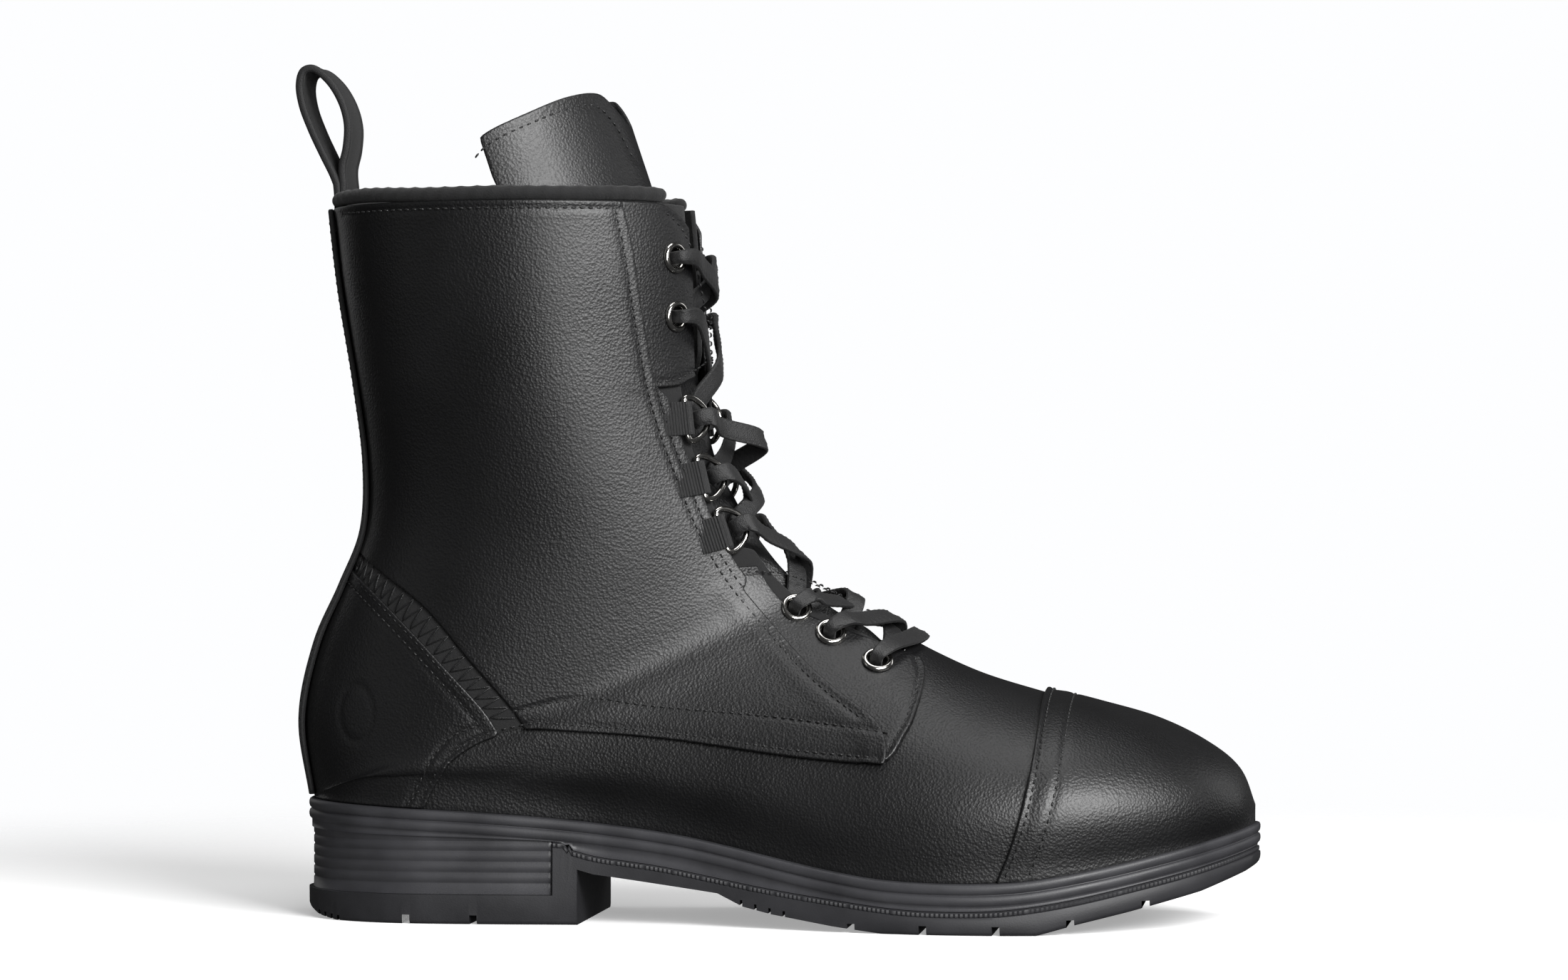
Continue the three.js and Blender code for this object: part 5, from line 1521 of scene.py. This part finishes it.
class BuildCollar(bpy.types.Operator):
    """Rolls the padded collar, sews the back strip and shapes the pull loop"""
    bl_idname = "boot.collar"
    bl_label = "Collar, back strip and pull loop"

    def execute(self, context):
        sizes = context.scene.boot_sizes
        self.roll()
        self.strip(sizes)
        self.loop(sizes)
        return {"FINISHED"}

    def roll(self):
        first = share_at(-1, 0.2, FACING_GAP + 9)[0]
        last = share_at(1, 0.2, FACING_GAP + 9)[0]
        v = np.concatenate([-np.linspace(first, 1, 120), np.linspace(1, last, 120)[1:]])
        centre = layer(np.full(len(v), 0.2), v, np.full(len(v), OVER_TOP - ROLL))
        centre[:, 2] = COLLAR + GAP + ROLL - 0.25
        step = 0.8
        centre = evenly(centre, step)
        along = np.arange(len(centre)) * step
        centre[:, 2] += 0.25 * np.sin(along / 17 + 1) + 0.15 * np.sin(along / 7.3)
        across, out = frames_along(centre, np.array([0.0, 0.0, 1.0]))
        sides = 28
        angle = around(sides)
        tuck = 0.16 * np.abs(np.sin(along * math.pi / 5.2))[:, None] * (1 + np.sin(angle - 0.6))[None]
        ends = np.minimum(1, np.sqrt(np.minimum(along, along[::-1]) / 2 + 0.1))[:, None]
        radius = (ROLL + 0.12 - tuck) * ends
        section = np.stack([np.cos(angle) * radius, np.sin(angle) * radius * 0.98], -1)
        shell = Shell()
        shell.add(*sweep(centre, across, out, section))
        roll = shell.piece("collar_roll_nubuck", finish("nubuck"), SHOE, "collar_nubuck", ["collar_roll"])

    def strip(self, sizes):
        half = STRAP["width"] / 2
        ts = np.linspace(0.15, 7.95, 120)
        edge_share = {}
        for side, _ in SIDES:
            back = last_points(ts, np.full(len(ts), float(side)))
            near = last_points(ts, np.full(len(ts), side * 0.9))
            edge_share[side] = half / (np.linalg.norm(back - near, axis=1) / 0.1)

        def place(t, w):
            span = np.where(w < 0, np.interp(t, ts, edge_share[-1]), np.interp(t, ts, edge_share[1]))
            return t, np.where(w < 0, -1.0, 1.0) * (1 - np.abs(w) * span)

        def inside(t, w):
            base = last_points(*place(t, w))
            return np.minimum.reduce([COLLAR - base[..., 2], (1 - np.abs(w)) * half,
                                      base[..., 2] - sole_top(base[..., 0])]) - 0.5

        def high(t, v, base):
            out = np.abs(base[:, 1])
            groove = 0.2 * np.exp(-((out - half + 2.2) / 0.7) ** 2)
            return 3.75 - groove + 0.07 * np.cos(out * 2 * math.pi / sizes.rib_pitch)

        params, faces = cut_grid(stations_between(0.15, 7.95, 1.2), np.linspace(-1, 1, 61), inside)
        shell = Shell()
        leather_solid(shell, params, faces, 2.3, high, place, EDGE_THIN)
        shell.piece("back_strip_webbing", finish("webbing"), SHOE, "webbing", ["back_strip"])
        shell = Shell()
        t = np.linspace(0.35, 7.8, 200)
        for w in (-0.78, 0.78):
            at, v = place(t, np.full(len(t), w))
            sew_line(shell, at, v, 3.65, sizes)
        shell.piece("stitching_strip", finish("thread"), SHOE, "webbing")

    def loop(self, sizes):
        points = np.array([
            (0.2, -15, 0), (0.0, -9, 0), (-0.2, -3, 0), (-0.9, 2.5, 0), (-2.6, 9, 0), (-4.5, 17, 0),
            (-5.6, 25, 0), (-4.9, 31.6, 0), (-2.6, 35.6, 0), (0.6, 36.2, 0), (4.6, 32.4, 0), (7.1, 26, 0),
            (7.4, 19, 0), (5.3, 11.5, 0), (2.6, 5.5, 0), (1.7, 1, 0), (1.4, -4, 0),
        ], float)
        flat = evenly(centripetal(points), 0.35)
        x, z = flat[:, 0], flat[:, 1]
        lean = LOOP["lean"] * np.maximum(z, 0) / LOOP["height"]
        centre = np.stack([HEM[0] - lean + x, 0 * x, HEM[1] + z], 1)
        run = unit(np.gradient(centre, axis=0))
        across = np.tile([0.0, 1.0, 0.0], (len(centre), 1))
        out = unit(np.cross(run, across))
        sides = 44
        flat_section = oval(LOOP["width"], 2.3, sides, 7)
        section = np.repeat(flat_section[None], len(centre), 0)
        rib = 0.07 * np.cos(flat_section[:, 0] * 2 * math.pi / sizes.rib_pitch)
        selvedge = 0.45 * np.exp(-((np.abs(flat_section[:, 0]) - LOOP["width"] / 2 + 0.9) / 0.9) ** 2)
        section[:, :, 1] += np.sign(flat_section[:, 1]) * (rib + selvedge - 0.25)
        shell = Shell()
        shell.add(*sweep(centre, across, out, section))
        loop = shell.piece("pull_loop_webbing", finish("webbing"), None, "webbing", ["pull_loop"])
        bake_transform(loop)


class BuildHardware(bpy.types.Operator):
    """Sets the eyelets, the D-rings and their grosgrain tabs"""
    bl_idname = "boot.hardware"
    bl_label = "Eyelets and rings"

    def execute(self, context):
        sizes = context.scene.boot_sizes
        for side, name in SIDES:
            eyelets = [place for place in LACING if place[2] == "eyelet"]
            rings = [place for place in LACING if place[2] == "ring"]
            for n, (station, out, _) in enumerate(eyelets, 1):
                self.eyelet(seat(side, station, out, 0), f"{name}_{n}")
            for n, (station, out, _) in enumerate(rings, 1):
                at = seat(side, station, out, 0)
                self.ring(at, f"{name}_{n}")
                self.tab(at, f"{name}_{n}", sizes)
        return {"FINISHED"}

    def eyelet(self, at, name):
        bore, outer = EYELET["bore"], EYELET["outer"]
        face = OVER_TOP - 0.15
        arc = [(math.cos(a), math.sin(a)) for a in np.linspace(0, math.pi, 12)]
        middle, half = (bore + outer) / 2, (outer - bore) / 2
        rim = [(middle + half * c, face + 1.05 * s) for c, s in arc]
        rows = rim + [(bore, 0.5), (bore, -1.8), (bore + 0.15, -2.3), (bore + 0.7, -2.5), (bore + 1.25, -2.3),
                      (bore + 0.9, -1.95), (bore + 0.4, -1.8), (bore + 0.4, 0.5), (bore + 0.45, face)]
        sides = 48
        points = [[r * math.cos(a), h, r * math.sin(a)]
                  for r, h in rows for a in around(sides)]
        faces = grid_faces(len(rows), sides, close_rows=True, close_columns=True)
        shell = Shell()
        shell.add(seated(points, at), faces)
        shell.piece(f"eyelet_nickel_{name}", finish("nickel"), SHOE, "nickel", [f"eyelet_{name}"])

    def ring(self, at, name):
        half, bow = RING["bar"] / 2, RING["bow"]
        side = [(0.15, half - 1.1), (0.9, half - 0.15), (2.6, half + 0.05), (bow * 0.55, half * 0.88),
                (bow * 0.86, half * 0.55)]
        line = [(0, -half * 0.4), (0, half * 0.4), *side, (bow, half * 0.18), (bow, -half * 0.18),
                *((x, -z) for x, z in side[::-1])]
        count = 96
        rows = np.array(line + line + line)
        at_row = len(line) + np.arange(count) / count * len(line)
        flat = through(rows, at_row)
        centre = np.stack([flat[:, 0], np.full(count, RING_LIFT), flat[:, 1]], 1)
        run = unit(np.roll(centre, -1, axis=0) - np.roll(centre, 1, axis=0))
        up = np.tile([0.0, 1.0, 0.0], (count, 1))
        across = unit(np.cross(run, up))
        sides = 16
        angle = around(sides)
        points = (centre[:, None] + across[:, None] * np.cos(angle)[None, :, None] * RING["wire"]
                  + up[:, None] * np.sin(angle)[None, :, None] * RING["wire"])
        shell = Shell()
        shell.add(seated(points.reshape(-1, 3), at), grid_faces(count, sides, True, True))
        shell.piece(f"d_ring_nickel_{name}", finish("nickel"), f"d_ring_{name}", "nickel", [f"d_ring_{name}"])

    def tab(self, at, name, sizes):
        step = 0.14
        clear = RING["wire"] + 0.42 + TAB["ply"] / 2
        arc = [(clear * math.cos(a), RING_LIFT + clear * math.sin(a))
               for a in np.linspace(math.radians(-95), math.radians(112), 14)]
        tails = [(-8.5, -0.5), (-5, -0.5), (-2, -0.45)], [(-2.2, 3.0), (-4.2, 2.3), (-6.3, 1.5), (-8.5, 0.9)]
        line = tails[0] + arc + tails[1]
        flat = evenly(centripetal([(x, y, 0) for x, y in line]), step)
        centre = np.stack([flat[:, 0], flat[:, 1], 0 * flat[:, 0]], 1)
        run = unit(np.gradient(centre, axis=0))
        across = np.tile([0.0, 0.0, 1.0], (len(centre), 1))
        out = unit(np.cross(across, run))
        along = np.arange(len(centre)) * step
        rib = 0.18 * np.cos(along * 2 * math.pi / sizes.rib_pitch)
        section = np.repeat(oval(TAB["width"], TAB["ply"], 28, 8)[None], len(centre), 0)
        section[:, :, 1] += np.sign(section[:, :, 1]) * rib[:, None]
        points, faces = sweep(centre, across, out, section)
        shell = Shell()
        shell.add(seated(np.asarray(points).reshape(-1, 3), at), faces)
        shell.piece(f"ring_tab_grosgrain_{name}", finish("webbing"), SHOE, "webbing", [f"ring_tab_{name}"])


# ------------------------------------------------------------------ sole
def footprint(offset, count):
    """The feather line moved out by an offset, from the heel along the outer side and back."""
    fine = np.linspace(HEEL_POINT, TOE_POINT, 900)
    walked = walk(feather(-1 + 0 * fine, fine))
    stations = np.interp(np.linspace(0, walked[-1], count + 1), walked, fine)

    def half(side):
        s = np.full(len(stations), float(side))
        point = feather(s, stations)
        ahead = feather(s, np.minimum(TOE_POINT, stations + 0.02))
        run = ahead - feather(s, np.maximum(HEEL_POINT, stations - 0.02))
        run[:, 2] = 0
        run[0] = (0, side, 0)
        run[-1] = (0, -side, 0)
        run = unit(run)
        return np.stack([point[:, 0] - side * run[:, 1] * offset, point[:, 1] + side * run[:, 0] * offset], 1)

    outer, inner = half(-1), half(1)
    return np.vstack([outer, inner[-2:0:-1]])


def above_sole(rise):
    """The height a rise above the top of the sole, by x."""
    return lambda x: sole_top(x) + rise


def above_ground(rise):
    """The height a rise above the bottom of the sole, by x."""
    return lambda x: sole_bottom(x) + rise


def below_parting(drop):
    """The height a drop below the line between the midsole and the outsole, by x."""
    return lambda x: parting_height(x) - drop


def towards_ground(share):
    """The height at a share of the way from the parting line to the sole's bottom, by x."""
    return lambda x: parting_height(x) * (1 - share) + sole_bottom(x) * share


def level_at(z):
    """One height all along."""
    return lambda x: 0 * x + z


def midsole_edge(drop):
    """The height a drop below the sole's top, kept over the parting line, by x."""
    return lambda x: np.maximum(sole_top(x) - drop, parting_height(x) + 0.25)


def sole_loft(levels, count, relief=None):
    """A closed solid of stacked outlines of the sole: each level has an offset and a height by x."""
    rings = []
    for n, (offset, height) in enumerate(levels):
        flat = footprint(offset, count)
        if relief is not None:
            extra = relief(n, len(flat))
            grown = footprint(offset + 0.2, count)
            flat = flat + (grown - flat) * extra[:, None] / 0.2
        rings.append(np.column_stack([flat, height(flat[:, 0])]))
    size = len(rings[0])
    faces = grid_faces(len(rings), size, close_columns=True)
    faces = [face[::-1] for face in faces]
    for base, flip in ((0, False), ((len(rings) - 1) * size, True)):
        for i in range(size // 2):
            a, b = base + i, base + i + 1
            c, d = base + (size - i - 1) % size, base + (size - i) % size
            face = tuple(dict.fromkeys((a, b, c, d)))
            faces.append(face[::-1] if flip else face)
    return np.vstack(rings), faces


class BuildSole(bpy.types.Operator):
    """Moulds the midsole with its ridges and the lugged outsole"""
    bl_idname = "boot.sole"
    bl_label = "Sole"

    def execute(self, context):
        self.midsole()
        self.outsole()
        return {"FINISHED"}

    def midsole(self):
        ridge = [(-5.0, 0), (2.3, 0), (3.1, 0.12), (3.65, 0.5), (3.9, 1.2), (3.9, 2.0), (3.7, 2.7),
                 (3.3, 3.1), (3.0, 3.3), (3.3, 3.5), (3.7, 3.9), (3.9, 4.6), (3.9, 5.3), (3.7, 6.0),
                 (3.3, 6.4), (3.0, 6.6)]
        levels = [(offset, midsole_edge(drop)) for offset, drop in ridge]
        levels.append((3.0, below_parting(-0.1)))
        shell = Shell()
        shell.add(*sole_loft(levels, 260))
        shell.piece("midsole_rubber", finish("midsole"), SHOE, "midsole_rubber", ["midsole"])
        low, high = HEEL_PANEL["low"] + 0.1, HEEL_PANEL["high"] - 1.2
        steps = []
        grooves = (12.5, 15.8, 19.1, 22.4, 25.4)
        for z in sorted({low, high} | {g + d for g in grooves for d in (-0.55, -0.25, 0, 0.25, 0.55)}):
            depth = max((0.36 if abs(z - g) < 0.3 else 0.1) if abs(z - g) < 0.6 else 0 for g in grooves)
            steps.append((WELT - HEEL_PANEL["inset"] - depth, level_at(z)))
        shell = Shell()
        shell.add(*sole_loft(steps[::-1], 260))
        panel = shell.piece("heel_stack_rubber", finish("midsole"), SHOE, "midsole_rubber", ["midsole"])
        self.slice(panel, HEEL_PANEL["front"] - GAP)

    def slice(self, obj, x):
        """Cuts off all of a solid ahead of a plane, and closes it."""
        mesh = bmesh.new()
        mesh.from_mesh(obj.data)
        plane = ((x + AHEAD) * MM, 0, 0)
        bmesh.ops.bisect_plane(mesh, geom=mesh.verts[:] + mesh.edges[:] + mesh.faces[:], plane_co=plane,
                               plane_no=(1, 0, 0), clear_outer=True)
        open_edges = [edge for edge in mesh.edges if edge.is_boundary]
        bmesh.ops.holes_fill(mesh, edges=open_edges, sides=0)
        mesh.to_mesh(obj.data)
        mesh.free()

    def outsole(self):
        knurl_rows = range(2, 6)
        pitch = 1.5
        count = 480

        def relief(level, size):
            if level not in knurl_rows:
                return np.zeros(size)
            flat = footprint(WELT, count)
            walked = np.cumsum(np.linalg.norm(np.diff(flat, axis=0, prepend=flat[:1]), axis=1))
            return 0.16 * np.sign(np.sin(walked * 2 * math.pi / pitch))

        levels = [(offset, below_parting(drop)) for offset, drop in (
            (2.9, 0.1), (3.1, 0.35), (3.35, 0.5), (3.4, 0.75), (3.4, 1.25), (3.35, 1.5), (3.15, 1.65),
            (3.5, 1.9))]
        levels += [(3.85, towards_ground(0.42)), (3.9, towards_ground(0.6)), (3.8, above_ground(1.2)),
                   (3.5, above_ground(0.5)), (3.0, above_ground(0.1)), (2.3, sole_bottom)]
        shell = Shell()
        shell.add(*sole_loft(levels, count, relief))
        sole = shell.piece("outsole_rubber", finish("outsole"), SHOE, "outsole_rubber", ["outsole"])
        under, behind = -6, -175  # clear of the sole
        start, end = ARCH[0][0], ARCH[-1][0]
        arch = [(start, under)] + ARCH + [(end, under)]
        front, low, high = HEEL_PANEL["front"], HEEL_PANEL["low"], HEEL_PANEL["high"]
        self.carve(sole, [self.prism("arch", arch)])
        self.carve(sole, [self.prism("recess", [(behind, low), (front, low), (front, high), (behind, high)])])

        def slot(name, x, mouth, narrow, top):
            return self.prism(name, [
                (x - mouth, under), (x + mouth, under), (x + narrow, top), (x - narrow, top)])

        cutters = []
        for x in GROOVES:
            cutters.append(slot("groove", x, 1.3, 1.15, sole_bottom(np.array([x - 3.0]))[0] + 2.8))
        for x in SIPES:
            base = np.interp(x, *zip(*ARCH)) if start < x < end else sole_bottom(np.array([x]))[0]
            cutters.append(slot("sipe", x, 0.5, 0.4, base + 1.7))
        self.carve(sole, cutters)
        sole.data.polygons.foreach_set("use_smooth", [True] * len(sole.data.polygons))
        edges = sole.modifiers.new("crisp", "EDGE_SPLIT")
        edges.split_angle = math.radians(38)

    def prism(self, name, outline, wide=90):
        """A cutter through the sole from a side-view outline."""
        n = len(outline)
        points = [(x, -wide, z) for x, z in outline] + [(x, wide, z) for x, z in outline]
        faces = [tuple(range(n)), tuple(reversed(range(n, 2 * n)))]
        faces += [(i, i + n, (i + 1) % n + n, (i + 1) % n) for i in range(n)]
        mesh = bpy.data.meshes.new(name)
        mesh.from_pydata(((np.array(points) + SHIFT) * MM).tolist(), [], faces)
        mesh.validate()
        obj = bpy.data.objects.new(name, mesh)
        bpy.context.scene.collection.objects.link(obj)
        made = bmesh.new()
        made.from_mesh(mesh)
        bmesh.ops.recalc_face_normals(made, faces=made.faces)
        made.to_mesh(mesh)
        made.free()
        return obj

    def carve(self, obj, cutters):
        """Cuts the cutters out of a solid and takes them away."""
        for cutter in cutters:
            tool = obj.modifiers.new("carve", "BOOLEAN")
            tool.operation = "DIFFERENCE"
            tool.solver = "EXACT"
            tool.object = cutter
        bpy.context.view_layer.update()
        made = bpy.data.meshes.new_from_object(obj.evaluated_get(bpy.context.evaluated_depsgraph_get()))
        obj.modifiers.clear()
        old = obj.data
        obj.data = made
        bpy.data.meshes.remove(old)
        for cutter in cutters:
            bpy.data.meshes.remove(cutter.data)


class FinishFrame(bpy.types.Operator):
    """Gives the hidden pieces of the frame their real materials"""
    bl_idname = "boot.hidden"
    bl_label = "Hidden pieces"

    def execute(self, context):
        wears = {
            "safety_toe_cap": "steel", "shank": "steel", "heel_stiffener": "board", "insole_board": "board",
            "vamp_lining": "lining", "ankle_padding_outer": "foam", "ankle_padding_inner": "foam",
            "aglet_1": "acetate", "aglet_2": "acetate",
        }
        for node, stuff in wears.items():
            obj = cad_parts[node]
            obj.data.materials.clear()
            obj.data.materials.append(finish(stuff))
        return {"FINISHED"}


class BOOT_PT_panel(bpy.types.Panel):
    """The boot's sizes, colours and pieces"""
    bl_idname = "BOOT_PT_panel"
    bl_label = "Fire Boot"
    bl_space_type = "VIEW_3D"
    bl_region_type = "UI"
    bl_category = "Fire Boot"

    def draw(self, context):
        for group in (context.scene.boot_sizes, context.scene.boot_colours):
            for name in group.__annotations__:
                self.layout.prop(group, name)
        for operator in OPERATORS:
            self.layout.operator(operator.bl_idname)


OPERATORS = [BuildStage, BuildLace, BuildQuarters, BuildEyestays, BuildHeel, BuildVamp, BuildStitching,
             BuildTongue, BuildLinings, BuildCollar, BuildHardware, BuildSole, FinishFrame]
CLASSES = [BootSizes, BootColours, *OPERATORS, BOOT_PT_panel]


def register():
    for cls in CLASSES:
        bpy.utils.register_class(cls)
    bpy.types.Scene.boot_sizes = bpy.props.PointerProperty(type=BootSizes)
    bpy.types.Scene.boot_colours = bpy.props.PointerProperty(type=BootColours)


def unregister():
    del bpy.types.Scene.boot_colours
    del bpy.types.Scene.boot_sizes
    for cls in reversed(CLASSES):
        bpy.utils.unregister_class(cls)


def main():
    register()
    for operator in OPERATORS:
        group, name = operator.bl_idname.split(".")
        getattr(getattr(bpy.ops, group), name)()


if __name__ == "__main__":
    main()
